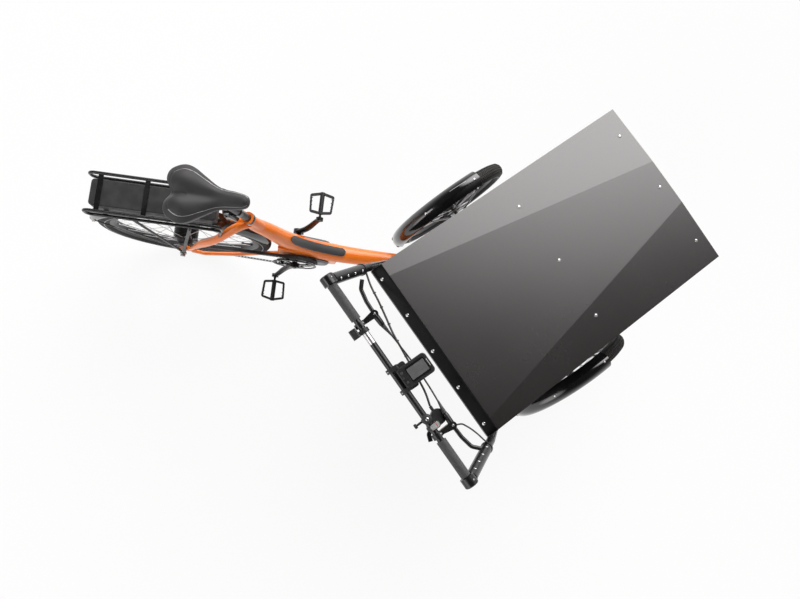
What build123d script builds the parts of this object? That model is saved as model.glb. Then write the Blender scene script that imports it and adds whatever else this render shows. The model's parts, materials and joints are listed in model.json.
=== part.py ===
from build123d import *
import os
from math import cos, pi, radians, sin, tan

os.makedirs("parts", exist_ok=True)

# All sizes are in millimetres. X points to the rider's left, Y to the rear and Z up.
# The steering pivot stands over the point (0, 0). The rear frame lies in the plane X = 0.
# The front unit is drawn straight ahead and turned about the pivot when it is written.

# Steering
steer_rest = 41.8
steer_stop = 43.0
head_low = 232
head_high = 336
head_radius = 31
kingpin_radius = 14
running_gap = 0.05
seat_gap = 0.3

# Wheels
front_wheel_radius = 263
front_bead_radius = 203
front_tyre_width = 58
front_axle_y = 68
front_track_half = 433
front_spokes = 28
rear_wheel_radius = 335
rear_bead_radius = 279.5
rear_tyre_width = 50
rear_axle_y = 1388
rear_spokes = 36
spoke_radius = 1.2
rim_width = 31
rim_depth = 15
rim_wall = 2.5
bead_height = 7
rotor_radius = 80
rotor_thickness = 2
caliper_angle = 35
lug_radius = 62
front_axle_radius = 7.5
rear_axle_radius = 6

# Rear frame
beam_line = [(1112, 703), (1077, 622), (1025, 520), (955, 396), (860, 322),
             (755, 290), (660, 284.5), (560, 284)]
beam_widths = [46, 52, 60, 68, 72, 70, 66, 64]
beam_heights = [46, 54, 66, 78, 78, 74, 72, 72]
beam_head_width = 54
beam_head_height = 68
bottom_bracket_y = 953
bottom_bracket_z = 287
seat_angle = 70.5
seat_tube_radius = 19
seat_tube_top = 748
seat_tube_foot = 372
seatpost_radius = 13.6
saddle_height = 1012
saddle_nose_y = 1090
saddle_length = 268
saddle_half_width = 96
rail_drop = 58
rail_radius = 3.5
dropout_x = 69
dropout_thickness = 6
stay_route = [(14, 1120, 694), (30, 1158, 690), (50, 1192, 664), (69, 1242, 600), (73, 1310, 485), (69, 1369, 380)]
stay_sizes = [(13, 18), (16, 19), (15, 18), (14, 17), (11, 14), (8, 11)]
pad_rear_y = 968
pad_front_y = 754
pad_width = 34
pad_thickness = 9
chain_stay_half = 7.5
chain_stay_height = 15
slot_gap = 0.15
yoke_thickness = 8

# Drive
crank_length = 170
crank_rest = 62.0
crank_boss_x = 61
spider_radius = 58
guard_ring_radius = 88
guard_ring_width = 9
guard_ring_x = 64.2
pedal_x = 161
pedal_length = 96
pedal_width = 96
pedal_pin_radius = 4.5
pedal_height = 16
pedal_rail = 8
pedal_barrel = 9
pedal_corner = 36
spindle_radius = 11
chain_x = -56
chain_width = 6
chain_height = 8.5
chain_links = 98
chain_plate = 1.2
roller_radius = 3.9
chainring_teeth = 38
sprocket_teeth = 18
tooth_height = 5
chainring_radius = 78
guard_reach = 325
guard_width = 11
sprocket_radius = 38
motor_half_width = 47
motor_radius = 62
motor_nose_y = 866
motor_nose_z = 262
motor_clearance = 1.5
cradle_inner = 29
cradle_plate = 7
cradle_back_y = 1018
boss_radius = 25

# Cargo box and lid
lid_crease_y = 567
lid_crease_z = 893
lid_front_y = -509
lid_front_z = 761
lid_half_width = 336
lid_rise = 14
lid_sheet = 4
hinge_leaf_gap = 1.5
lid_skirt = 24
crease_rear_x = 289
crease_front_x = 92
strip_rear_y = 605
strip_rear_z = 875
hinge_gap = 2.6
box_half_width = 324
box_wall = 14
box_front_y = -496
box_rear_y = 588
box_rear_foot_y = 510
floor_low = 400
floor_thickness = 12

# Chassis under the box
rail_x = 250
rail_width = 40
rail_low = 357
carrier_x = 357
carrier_thickness = 10
carrier_width = 64

# Handlebar
bar_y = 764
bar_z = 1111
bar_radius = 11.1
bar_half = 365
grip_length = 128
adjuster_x = 181
bell_x = -142
shifter_x = -172
shift_barrel_x = -122
switch_x = 180
cable_radius = 2.6
grip_radius = 16
arm_foot_y = 500
arm_foot_x = 344
arm_knee_z = 640
arm_strip_x = 352
arm_strip_y = 604
arm_strip_z = 876
arm_radius = 14.5
sleeve_radius = 18.5
head_disc_radius = 23

# Mudguards
guard_gap = 18
guard_sheet = 2.5
guard_lip = 14
front_guard_width = 66
rear_guard_width = 60

# Rack and battery
rack_z = 842
rack_half = 64
rack_rear_y = 1640
rack_front_y = 1180
rack_radius = 5.5
rack_drop = 62
battery_half = 45

front_axle = (front_track_half, front_axle_y, front_wheel_radius)
rear_axle = (0, rear_axle_y, rear_wheel_radius)
seat_slope = 1 / tan(radians(seat_angle))
across = Vector(1, 0, 0)


def seat_line(z):
    """Y of the seat tube's axis at the height z."""
    return bottom_bracket_y + (z - bottom_bracket_z) * seat_slope


def side_plane(x, y=0, z=0):
    """Upright plane at x: its first axis runs to the rear and its second up."""
    return Plane(origin=(x, y, z), x_dir=(0, 1, 0), z_dir=(1, 0, 0))


def axle_plane(centre):
    """Upright plane through a wheel's axle: its first axis is the axle."""
    return Plane(origin=centre, x_dir=(1, 0, 0), z_dir=(0, -1, 0))


def rod(start, end, radius):
    """Round bar from one point to another."""
    way = Vector(*end) - Vector(*start)
    return Solid.make_cylinder(radius, way.length, Plane(origin=start, z_dir=way))


def wheel_angle(centre, radius, angle, x=None):
    """Point on a circle round an axle. The angle is 0 to the rear and 90 at the top."""
    return (
        centre[0] if x is None else x,
        centre[1] + radius * cos(radians(angle)),
        centre[2] + radius * sin(radians(angle)),
    )


def toothed_disc(tip_radius, teeth):
    """Sprocket outline: a root circle with one pointed tooth to each link."""
    Circle(tip_radius - tooth_height)
    with PolarLocations(tip_radius - tooth_height + 1, teeth):
        RegularPolygon(tooth_height - 1, 3)


def make_tyre(centre, radius, width, bead_radius):
    seat = rim_width / 2 - rim_wall - 0.4
    low = bead_radius + 0.2
    shoulder = width * 0.34
    with BuildPart() as tyre:
        with BuildSketch(axle_plane(centre)):
            with BuildLine():
                Line((-seat, low), (seat, low))
                Line((seat, low), (seat, low + bead_height + 1))
                ThreePointArc(
                    (seat, low + bead_height + 1),
                    (width / 2, (low + radius) / 2),
                    (shoulder, radius - 6),
                )
                ThreePointArc((shoulder, radius - 6), (0, radius), (-shoulder, radius - 6))
                ThreePointArc(
                    (-shoulder, radius - 6),
                    (-width / 2, (low + radius) / 2),
                    (-seat, low + bead_height + 1),
                )
                Line((-seat, low + bead_height + 1), (-seat, low))
            make_face()
        revolve(axis=Axis(centre, (1, 0, 0)))
    return tyre.part


def make_wheel(centre, bead_radius, hub_radius, flange_x, hub_half, flange_radius, spokes,
               bore, rotor_x=None, sprocket_x=None):
    """Rim, hub and laced spokes as one piece, with its brake disc or sprocket."""
    rim_inner = bead_radius - rim_depth
    half = rim_width / 2
    with BuildPart() as wheel:
        with BuildSketch(axle_plane(centre)):
            with BuildLine():
                Polyline(
                    (-half, bead_radius + bead_height),
                    (-half, bead_radius - 5),
                    (-half + 7, rim_inner),
                    (half - 7, rim_inner),
                    (half, bead_radius - 5),
                    (half, bead_radius + bead_height),
                    (half - rim_wall, bead_radius + bead_height),
                    (half - rim_wall, bead_radius),
                    (-half + rim_wall, bead_radius),
                    (-half + rim_wall, bead_radius + bead_height),
                    close=True,
                )
            make_face()
            with BuildLine():
                Polyline(
                    (-hub_half, 0),
                    (-hub_half, hub_radius * 0.6),
                    (-flange_x - 2, hub_radius * 0.75),
                    (-flange_x - 2, flange_radius),
                    (-flange_x + 2, flange_radius),
                    (-flange_x + 5, hub_radius),
                    (flange_x - 5, hub_radius),
                    (flange_x - 2, flange_radius),
                    (flange_x + 2, flange_radius),
                    (flange_x + 2, hub_radius * 0.75),
                    (hub_half, hub_radius * 0.6),
                    (hub_half, 0),
                    close=True,
                )
            make_face()
        revolve(axis=Axis(centre, (1, 0, 0)))
        lacing = []
        for i in range(spokes):
            side = 1 if i % 2 else -1
            lean = 28 if (i // 2) % 2 else -28
            turn = 360 * i / spokes
            foot = wheel_angle(centre, flange_radius - 2, turn + lean, centre[0] + side * flange_x)
            head = wheel_angle(centre, rim_inner + 2, turn, centre[0] + side * 3)
            lacing.append(rod(foot, head, spoke_radius))
        add(lacing)
        if rotor_x is not None:
            with BuildSketch(side_plane(rotor_x - rotor_thickness / 2, centre[1], centre[2])):
                Circle(rotor_radius)
                Circle(rotor_radius - 16, mode=Mode.SUBTRACT)
                for i in range(5):
                    with Locations(Rotation(0, 0, i * 72)):
                        with Locations(((rotor_radius - 6) / 2, 0)):
                            Rectangle(rotor_radius - 6, 9)
                Circle(hub_radius * 0.6)
            extrude(amount=rotor_thickness)
        if sprocket_x is not None:
            with BuildSketch(side_plane(sprocket_x - 1.5, centre[1], centre[2])):
                toothed_disc(sprocket_radius - chain_height / 2 - seat_gap, sprocket_teeth)
            extrude(amount=3)
            with BuildSketch(side_plane(sprocket_x, centre[1], centre[2])):
                Circle(hub_radius * 0.6)
            extrude(amount=-hub_half - sprocket_x)
        with BuildSketch(side_plane(centre[0], centre[1], centre[2])):
            Circle(bore + running_gap)
        extrude(amount=200, both=True, mode=Mode.SUBTRACT)
    return wheel.part


def make_guard(centre, inner_radius, width, start, end):
    """Curved mudguard blade with turned-down lips, from one angle to another."""
    half = width / 2
    outer = inner_radius + guard_sheet
    crown = 7
    blade_plane = Plane(
        origin=centre,
        x_dir=(1, 0, 0),
        z_dir=(0, -sin(radians(start)), cos(radians(start))),
    )
    flip = 1 if blade_plane.y_dir.dot(Vector(0, cos(radians(start)), sin(radians(start)))) > 0 else -1
    with BuildPart() as guard:
        with BuildSketch(blade_plane):
            with BuildLine():
                ThreePointArc((-half, flip * (inner_radius - guard_lip)), (0, flip * (outer + crown)),
                              (half, flip * (inner_radius - guard_lip)))
                Line((half, flip * (inner_radius - guard_lip)),
                     (half - guard_sheet, flip * (inner_radius - guard_lip)))
                ThreePointArc((half - guard_sheet, flip * (inner_radius - guard_lip)),
                              (0, flip * (outer + crown - guard_sheet)),
                              (-half + guard_sheet, flip * (inner_radius - guard_lip)))
                Line((-half + guard_sheet, flip * (inner_radius - guard_lip)),
                     (-half, flip * (inner_radius - guard_lip)))
            make_face()
        revolve(axis=Axis(centre, (1, 0, 0)), revolution_arc=end - start)
    return guard.part


def make_reflector(centre, inner_radius, width, start):
    """Curved reflector that caps the end of a mudguard blade."""
    back = Plane(
        origin=wheel_angle(centre, inner_radius - 4, start),
        x_dir=(1, 0, 0),
        z_dir=(0, sin(radians(start)), -cos(radians(start))),
    )
    with BuildPart() as reflector:
        with BuildSketch(back.offset(seat_gap)):
            SlotOverall(width - 14, 22)
        extrude(amount=7)
        chamfer(faces().sort_by(Axis.Z)[0].edges(), 2)
    return reflector.part


# ------------------------------------------------------------------ wheels
front_left_tyre_part = make_tyre(front_axle, front_wheel_radius, front_tyre_width, front_bead_radius)
front_left_wheel_part = make_wheel(
    front_axle, front_bead_radius, 17, 26, 38, 26, front_spokes, front_axle_radius,
    rotor_x=front_track_half - 37,
)
rear_tyre_part = make_tyre(rear_axle, rear_wheel_radius, rear_tyre_width, rear_bead_radius)
rear_wheel_part = make_wheel(
    rear_axle, rear_bead_radius, 44, 32, 58, 49, rear_spokes, rear_axle_radius,
    sprocket_x=chain_x,
)

# ------------------------------------------------------------------ main frame
with BuildPart() as main_frame:
    with BuildLine(Plane.YZ) as beam_path:
        Spline(beam_line, tangents=[(-0.35, -1), (-1, 0)])
    curve = beam_path.edges()[0]
    for (y, z), width, height in zip(beam_line, beam_widths, beam_heights):
        at = curve.param_at_point((0, y, z))
        station = Plane(origin=(0, y, z), x_dir=across, z_dir=curve.tangent_at(at))
        with BuildSketch(station):
            Ellipse(width / 2, height / 2)
    loft()
    # Straight run forward to the head tube
    straight_y, straight_z = beam_line[-1]
    for y, width, height in ((straight_y, beam_widths[-1], beam_heights[-1]),
                             (0, beam_head_width, beam_head_height)):
        with BuildSketch(Plane(origin=(0, y, straight_z), x_dir=across, z_dir=(0, -1, 0))):
            Ellipse(width / 2, height / 2)
    loft(ruled=True)
    # Pocket in the beam's underside that the motor sits in
    with BuildSketch(side_plane(0)):
        with Locations((bottom_bracket_y, bottom_bracket_z)):
            Circle(motor_radius + motor_clearance)
        with Locations((motor_nose_y, motor_nose_z)):
            Circle(motor_radius - 6 + motor_clearance)
        make_hull()
    extrude(amount=60, both=True, mode=Mode.SUBTRACT)
    seat_foot = (0, seat_line(seat_tube_foot), seat_tube_foot)
    seat_top = (0, seat_line(seat_tube_top), seat_tube_top)
    add(rod(seat_foot, seat_top, seat_tube_radius))
    # Collar that clamps the seatpost
    collar_foot = (0, seat_line(seat_tube_top - 22), seat_tube_top - 22)
    add(rod(collar_foot, seat_top, seat_tube_radius + 3))
    # Head tube round the kingpin
    with BuildSketch(Plane.XY.offset(head_low)):
        Circle(head_radius)
    extrude(amount=head_high - head_low)
    # Cradle plates that hold the motor
    for side in (-1, 1):
        with BuildSketch(side_plane(side * cradle_inner)):
            with BuildLine():
                Polyline((cradle_back_y, 452), (cradle_back_y, 268), (990, 236), (935, 222), (850, 212),
                         (790, 236), (785, 300), (880, 330), (950, 400), close=True)
            make_face()
            fillet(vertices().group_by(Axis.Y)[0], 20)
        extrude(amount=side * cradle_plate)
    # Bores for the kingpin and the seatpost
    with BuildSketch(Plane.XY.offset(head_low - 1)):
        Circle(kingpin_radius + running_gap)
    extrude(amount=head_high - head_low + 2, mode=Mode.SUBTRACT)
    post_foot = (0, seat_line(seat_tube_top - 190), seat_tube_top - 190)
    post_out = (0, seat_line(seat_tube_top + 20), seat_tube_top + 20)
    add(rod(post_foot, post_out, seatpost_radius + 0.1), mode=Mode.SUBTRACT)
    with BuildSketch(side_plane(0, bottom_bracket_y, bottom_bracket_z)):
        Circle(boss_radius)
    extrude(amount=60, both=True, mode=Mode.SUBTRACT)

# ------------------------------------------------------------------ motor
with BuildPart() as motor:
    with BuildSketch(side_plane(0)):
        with Locations((bottom_bracket_y, bottom_bracket_z)):
            Circle(motor_radius)
        with Locations((motor_nose_y, motor_nose_z)):
            Circle(motor_radius - 6)
        make_hull()
    extrude(amount=cradle_inner - seat_gap, both=True)
    for side in (-1, 1):
        cover_x = side * (cradle_inner + cradle_plate + seat_gap)
        with BuildSketch(side_plane(cover_x)) as cover:
            with Locations((bottom_bracket_y, bottom_bracket_z)):
                Circle(motor_radius - 4)
            with Locations((motor_nose_y, motor_nose_z)):
                Circle(motor_radius - 12)
            make_hull()
        extrude(amount=side * (motor_half_width - abs(cover_x)))
    outer_faces = faces().sort_by(Axis.X)
    chamfer(outer_faces[0].edges() + outer_faces[-1].edges(), 7)
    # Boss round the spindle, which joins the two covers through the cradle
    with BuildSketch(side_plane(0, bottom_bracket_y, bottom_bracket_z)):
        Circle(boss_radius - seat_gap)
    extrude(amount=motor_half_width + 3, both=True)
    with BuildSketch(side_plane(0, bottom_bracket_y, bottom_bracket_z)):
        Circle(spindle_radius + running_gap)
    extrude(amount=100, both=True, mode=Mode.SUBTRACT)

# ------------------------------------------------------------------ stays
def dropout_outline(growth):
    """Outline of a dropout plate in a side plane, grown by a clearance."""
    with Locations((rear_axle_y, rear_wheel_radius)):
        Circle(19 + growth)
    with Locations((rear_axle_y - 42, rear_wheel_radius - 8)):
        Circle(12 + growth)
    with Locations((rear_axle_y - 20, rear_wheel_radius + 56)):
        Circle(8 + growth)
    make_hull()


with BuildPart() as seat_stays:
    for side in (-1, 1):
        with BuildLine() as stay_line:
            Spline([(side * x, y, z) for x, y, z in stay_route])
        curve = stay_line.edges()[0]
        for (x, y, z), (half_width, half_height) in zip(stay_route, stay_sizes):
            at = curve.param_at_point((side * x, y, z))
            with BuildSketch(Plane(origin=(side * x, y, z), x_dir=across, z_dir=curve.tangent_at(at))):
                Ellipse(half_width, half_height)
        loft()
        # Slot in the stay's foot that takes the dropout plate
        with BuildSketch(side_plane(side * (dropout_x - dropout_thickness / 2 - slot_gap))):
            dropout_outline(seat_gap)
        extrude(amount=side * (dropout_thickness + 2 * slot_gap), mode=Mode.SUBTRACT)
    # The two stays meet in a short neck, coped to the beam behind the seat tube
    add(rod((0, seat_line(690) + 22, 690), (0, seat_line(690) + 62, 690), 17))
    add(main_frame.part.moved(Location((0, seat_gap, 0))), mode=Mode.SUBTRACT)

with BuildPart() as chain_stays:
    for side in (-1, 1):
        with BuildLine():
            route = FilletPolyline(
                (side * 27, cradle_back_y + 4, 291),
                (side * 34, cradle_back_y + 44, 294),
                (side * 57, rear_axle_y - 205, 302),
                (side * (dropout_x + 4), rear_axle_y - 80, 318),
                (side * dropout_x, rear_axle_y - 30, 328),
                radius=70,
            )
        with BuildSketch(Plane(origin=route @ 0, x_dir=across, z_dir=route % 0)):
            Ellipse(chain_stay_half, chain_stay_height)
        sweep(path=route)
        # Dropout plate that holds the axle
        with BuildSketch(side_plane(side * (dropout_x - dropout_thickness / 2))):
            dropout_outline(0)
            with Locations((rear_axle_y, rear_wheel_radius)):
                Circle(rear_axle_radius + running_gap, mode=Mode.SUBTRACT)
        extrude(amount=side * dropout_thickness)
    # Yoke between the stays, behind the motor
    with BuildSketch(Plane.XZ.offset(-(cradle_back_y + yoke_thickness))):
        with Locations((0, 290)):
            RectangleRounded(2 * 34, 30, 8)
    extrude(amount=yoke_thickness)

with BuildPart() as rear_axle_pin:
    add(rod((-92, rear_axle_y, rear_wheel_radius), (88, rear_axle_y, rear_wheel_radius),
            rear_axle_radius))
    for side in (-1, 1):
        nut_x = side * (dropout_x + dropout_thickness / 2 + seat_gap)
        with BuildSketch(side_plane(nut_x, rear_axle_y, rear_wheel_radius)):
            RegularPolygon(10, 6)
        extrude(amount=side * 9)

# ------------------------------------------------------------------ saddle and post
with BuildPart() as seatpost:
    post_low = (0, seat_line(seat_tube_top - 170), seat_tube_top - 170)
    post_high = (0, seat_line(saddle_height - 78), saddle_height - 78)
    add(rod(post_low, post_high, seatpost_radius))
    # Head that clamps the saddle rails
    head_mid = saddle_height - rail_drop - rail_radius - seat_gap - 13
    with BuildSketch(side_plane(-24, seat_line(head_mid), head_mid)):
        RectangleRounded(38, 26, 8)
    extrude(amount=48)

with BuildPart() as saddle_rails:
    for side in (-1, 1):
        with BuildLine():
            route = FilletPolyline(
                (side * 9, saddle_nose_y + 40, saddle_height - 43.7),
                (side * 22, saddle_nose_y + 76, saddle_height - rail_drop),
                (side * 22, saddle_nose_y + 168, saddle_height - rail_drop),
                (side * 40, saddle_nose_y + 218, saddle_height - 43.7),
                radius=18,
            )
        with BuildSketch(Plane(origin=route @ 0, z_dir=route % 0)):
            Circle(rail_radius)
        sweep(path=route)

with BuildPart() as saddle:
    saddle_back = saddle_nose_y + saddle_length
    with BuildSketch(Plane.XY.offset(saddle_height - 40)):
        with BuildLine():
            half_outline = [
                (24, saddle_nose_y + 24), (32, saddle_nose_y + 92), (saddle_half_width - 14, saddle_nose_y + 162),
                (saddle_half_width, saddle_nose_y + 212), (saddle_half_width - 34, saddle_back - 8),
            ]
            Spline(
                (0, saddle_nose_y), *half_outline, (0, saddle_back - 12),
                *[(-x, y) for x, y in reversed(half_outline)], periodic=True,
            )
        make_face()
    extrude(amount=38)

# ------------------------------------------------------------------ chain and guard
def chain_hull(growth):
    """Outline round both sprockets, the chain's pitch line grown by a distance."""
    with Locations((bottom_bracket_y, bottom_bracket_z)):
        Circle(chainring_radius + growth)
    with Locations((rear_axle_y, rear_wheel_radius)):
        Circle(sprocket_radius + growth)
    make_hull()


# Pins stand at even steps along the pitch line
with BuildSketch() as pitch:
    chain_hull(0)
pitch_line = pitch.sketch.face().outer_wire()
pins = [(point.X, point.Y) for point in (pitch_line @ (i / chain_links) for i in range(chain_links))]
with BuildPart() as chain:
    for side in (-1, 1):
        # Waisted side plates, one loop on each side of the rollers
        with BuildSketch(side_plane(chain_x + side * (chain_width / 2 - chain_plate))):
            chain_hull(chain_height / 2 - 1.3)
            with BuildSketch(mode=Mode.PRIVATE) as inside:
                chain_hull(1.3 - chain_height / 2)
            add(inside.sketch, mode=Mode.SUBTRACT)
            with Locations(*pins):
                Circle(chain_height / 2)
        extrude(amount=side * chain_plate)
    with BuildSketch(side_plane(chain_x - chain_width / 2 + chain_plate)):
        with Locations(*pins):
            Circle(roller_radius)
    extrude(amount=chain_width - 2 * chain_plate)

# ------------------------------------------------------------------ cranks
crank_dir = (0, -cos(radians(crank_rest)), sin(radians(crank_rest)))


def crank_point(side, reach, x):
    """Point along the left (1) or right (-1) crank arm at a distance from the spindle."""
    return (x, bottom_bracket_y + side * crank_dir[1] * reach, bottom_bracket_z + side * crank_dir[2] * reach)


with BuildPart() as cranks:
    add(rod((-78, bottom_bracket_y, bottom_bracket_z), (78, bottom_bracket_y, bottom_bracket_z),
            spindle_radius))
    for side in (-1, 1):
        # Forged arm that swings outward from the spindle to the pedal
        sections = ((0, 71, 19, 10), (45, 72, 17, 9), (85, 77, 15, 8.5), (125, 88, 13, 8),
                    (crank_length, 98, 13, 7))
        for reach, x, half_wide, half_thick in sections:
            point = crank_point(side, reach, side * x)
            with BuildSketch(Plane(origin=point, x_dir=across, z_dir=tuple(side * c for c in crank_dir))):
                Ellipse(half_thick, half_wide)
        loft()
        with BuildSketch(side_plane(side * crank_boss_x, bottom_bracket_y, bottom_bracket_z)):
            Circle(21)
        extrude(amount=side * 19)
        eye = crank_point(side, crank_length, side * 92)
        with BuildSketch(side_plane(*eye)):
            Circle(14)
        extrude(amount=side * 14)
        with BuildSketch(side_plane(*eye)):
            Circle(pedal_pin_radius + 1)
        extrude(amount=side * 20)
        pin_out = crank_point(side, crank_length, side * (pedal_x + pedal_width / 2 - 6))
        add(rod(eye, pin_out, pedal_pin_radius))
    # Four-armed spider with the ring that shields the chain
    with BuildSketch(side_plane(-guard_ring_x, bottom_bracket_y, bottom_bracket_z)):
        Circle(guard_ring_radius)
        Circle(guard_ring_radius - guard_ring_width, mode=Mode.SUBTRACT)
        with PolarLocations(0, 4, start_angle=crank_rest):
            with Locations((guard_ring_radius / 2 - 2, 0)):
                Rectangle(guard_ring_radius - 8, 15)
        Circle(27)
    extrude(amount=-3.5)
    with BuildSketch(side_plane(chain_x - 1.5 - seat_gap, bottom_bracket_y, bottom_bracket_z)):
        with PolarLocations(spider_radius, 4, start_angle=crank_rest):
            Circle(6.5)
    extrude(amount=-(guard_ring_x + chain_x - 1.5 - seat_gap))

with BuildPart() as chainring:
    with BuildSketch(side_plane(chain_x - 1.5, bottom_bracket_y, bottom_bracket_z)):
        toothed_disc(chainring_radius - chain_height / 2 - seat_gap, chainring_teeth)
        Circle(spider_radius - 3, mode=Mode.SUBTRACT)
        with PolarLocations(spider_radius, 4, start_angle=crank_rest):
            Circle(9)
    extrude(amount=3)


def make_pedal(side):
    """Cage pedal: an outer frame on a round barrel that turns on the crank's pin."""
    centre = crank_point(side, crank_length, side * pedal_x)
    inner = -side * (pedal_width / 2 - 6)
    outer = side * (pedal_width / 2 - 2)
    half = pedal_length / 2
    with BuildPart() as pedal:
        with BuildSketch(Plane(origin=(centre[0], centre[1], centre[2] - pedal_height / 2))):
            with BuildLine():
                Polyline(
                    (inner, 0), (-side * pedal_corner, half - 4), (side * (pedal_corner - 2), half),
                    (outer, 0), (side * (pedal_corner - 2), -half), (-side * pedal_corner, 4 - half),
                    close=True,
                )
            make_face()
            fillet(vertices(), 9)
            offset(amount=-pedal_rail, kind=Kind.INTERSECTION, mode=Mode.SUBTRACT)
        extrude(amount=pedal_height)
        add(rod((centre[0] + inner, centre[1], centre[2]), (centre[0] + outer, centre[1], centre[2]),
                pedal_barrel))
        add(rod((centre[0] - 80, centre[1], centre[2]), (centre[0] + 80, centre[1], centre[2]),
                pedal_pin_radius + running_gap), mode=Mode.SUBTRACT)
    return pedal.part


left_pedal_part = make_pedal(1)
right_pedal_part = make_pedal(-1)

# ------------------------------------------------------------------ chain guard, pad
with BuildPart() as chain_guard:
    # Cover that follows the chain's upper run and the front of the chainring
    with BuildSketch(side_plane(-motor_half_width - seat_gap)):
        chain_hull(14)
        with BuildSketch(mode=Mode.PRIVATE) as hollow:
            chain_hull(9)
        add(hollow.sketch, mode=Mode.SUBTRACT)
        with Locations((bottom_bracket_y, bottom_bracket_z - 150)):
            Rectangle(1200, 300, mode=Mode.SUBTRACT)
        with Locations((bottom_bracket_y + guard_reach + 300, bottom_bracket_z)):
            Rectangle(600, 600, mode=Mode.SUBTRACT)
    extrude(amount=-guard_width)

with BuildPart() as beam_pad:
    # A slice of the beam's own top, lifted by the pad's thickness
    add(main_frame.part.moved(Location((0, 0, pad_thickness))))
    with BuildSketch(Plane.XY.offset(300)):
        with Locations((0, (pad_rear_y + pad_front_y) / 2)):
            SlotOverall(pad_rear_y - pad_front_y, pad_width, rotation=90)
    extrude(amount=200, mode=Mode.INTERSECT)
    add(main_frame.part.moved(Location((0, 0, seat_gap))), mode=Mode.SUBTRACT)

# ------------------------------------------------------------------ rear rack
with BuildPart() as rear_rack:
    for side in (-1, 1):
        with BuildLine():
            route = FilletPolyline(
                (side * 60, rack_front_y + 36, 642),
                (side * rack_half, rack_front_y + 16, rack_z - rack_drop),
                (side * rack_half, rack_rear_y, rack_z - rack_drop),
                (side * rack_half, rack_rear_y, rack_z),
                (side * rack_half, rack_front_y + 10, rack_z),
                (side * rack_half, rack_front_y + 10, rack_z - rack_drop + 4),
                radius=22,
            )
        with BuildSketch(Plane(origin=route @ 0, z_dir=route % 0)):
            Circle(rack_radius)
        sweep(path=route)
        # Two struts from the rack down to the axle
        for strut_y in (rear_axle_y + 105, rear_axle_y - 89):
            add(rod((side * rack_half, strut_y, rack_z - rack_drop),
                    (side * (dropout_x + 14), rear_axle_y, rear_wheel_radius + 12), 4.5))
        with BuildSketch(side_plane(side * (dropout_x + 13))):
            with Locations((rear_axle_y, rear_wheel_radius)):
                Circle(13)
                Circle(rear_axle_radius + seat_gap, mode=Mode.SUBTRACT)
        extrude(amount=side * 3)
    for y in (rack_rear_y - 44, rack_rear_y - 196, rack_rear_y - 350):
        with BuildSketch(Plane.XZ.offset(-(y + 8))):
            with Locations((0, rack_z + 1)):
                Rectangle(2 * rack_half, 4)
        extrude(amount=16)
    for y in (rack_front_y + 40, rack_rear_y - 60):
        with BuildSketch(Plane.XZ.offset(-(y + 8))):
            with Locations((0, rack_z - rack_drop)):
                Rectangle(2 * rack_half, 4)
        extrude(amount=16)
    # The front legs are coped to the seat stays
    add(seat_stays.part.moved(Location((0, 0, seat_gap))), mode=Mode.SUBTRACT)

with BuildPart() as battery:
    with BuildSketch(Plane.XY.offset(rack_z - rack_drop + 2 + seat_gap)):
        with Locations((0, (rack_rear_y - 14 + rack_front_y + 30) / 2)):
            RectangleRounded(2 * battery_half, rack_rear_y - rack_front_y - 44, 12)
    extrude(amount=rack_drop - 3 - 2 * seat_gap)
    chamfer(faces().sort_by(Axis.Z)[-1].edges(), 3)

with BuildPart() as rear_mudguard:
    add(make_guard(rear_axle, rear_wheel_radius + guard_gap, rear_guard_width, 20, 162))
    for side in (-1, 1):
        # Wire stay from the blade's lip to an eyelet on the dropout
        eyelet = (side * (dropout_x + dropout_thickness / 2 + seat_gap), rear_axle_y + 13,
                  rear_wheel_radius + 13)
        lip = rear_wheel_radius + guard_gap - guard_lip + 5
        head = wheel_angle(rear_axle, lip, 26, side * (rear_guard_width / 2 - 1))
        add(rod((eyelet[0] + side * 2.5, eyelet[1], eyelet[2]), head, 2.2))
        with BuildSketch(side_plane(*eyelet)):
            Circle(5)
        extrude(amount=side * 5)

with BuildPart() as rear_reflector:
    add(make_reflector(rear_axle, rear_wheel_radius + guard_gap, rear_guard_width, 20))

# ------------------------------------------------------------------ chassis
def caliper_lug(x):
    """Centre of a brake caliper's fixing on its carrier plate."""
    return wheel_angle(front_axle, lug_radius, caliper_angle, x)


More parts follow.
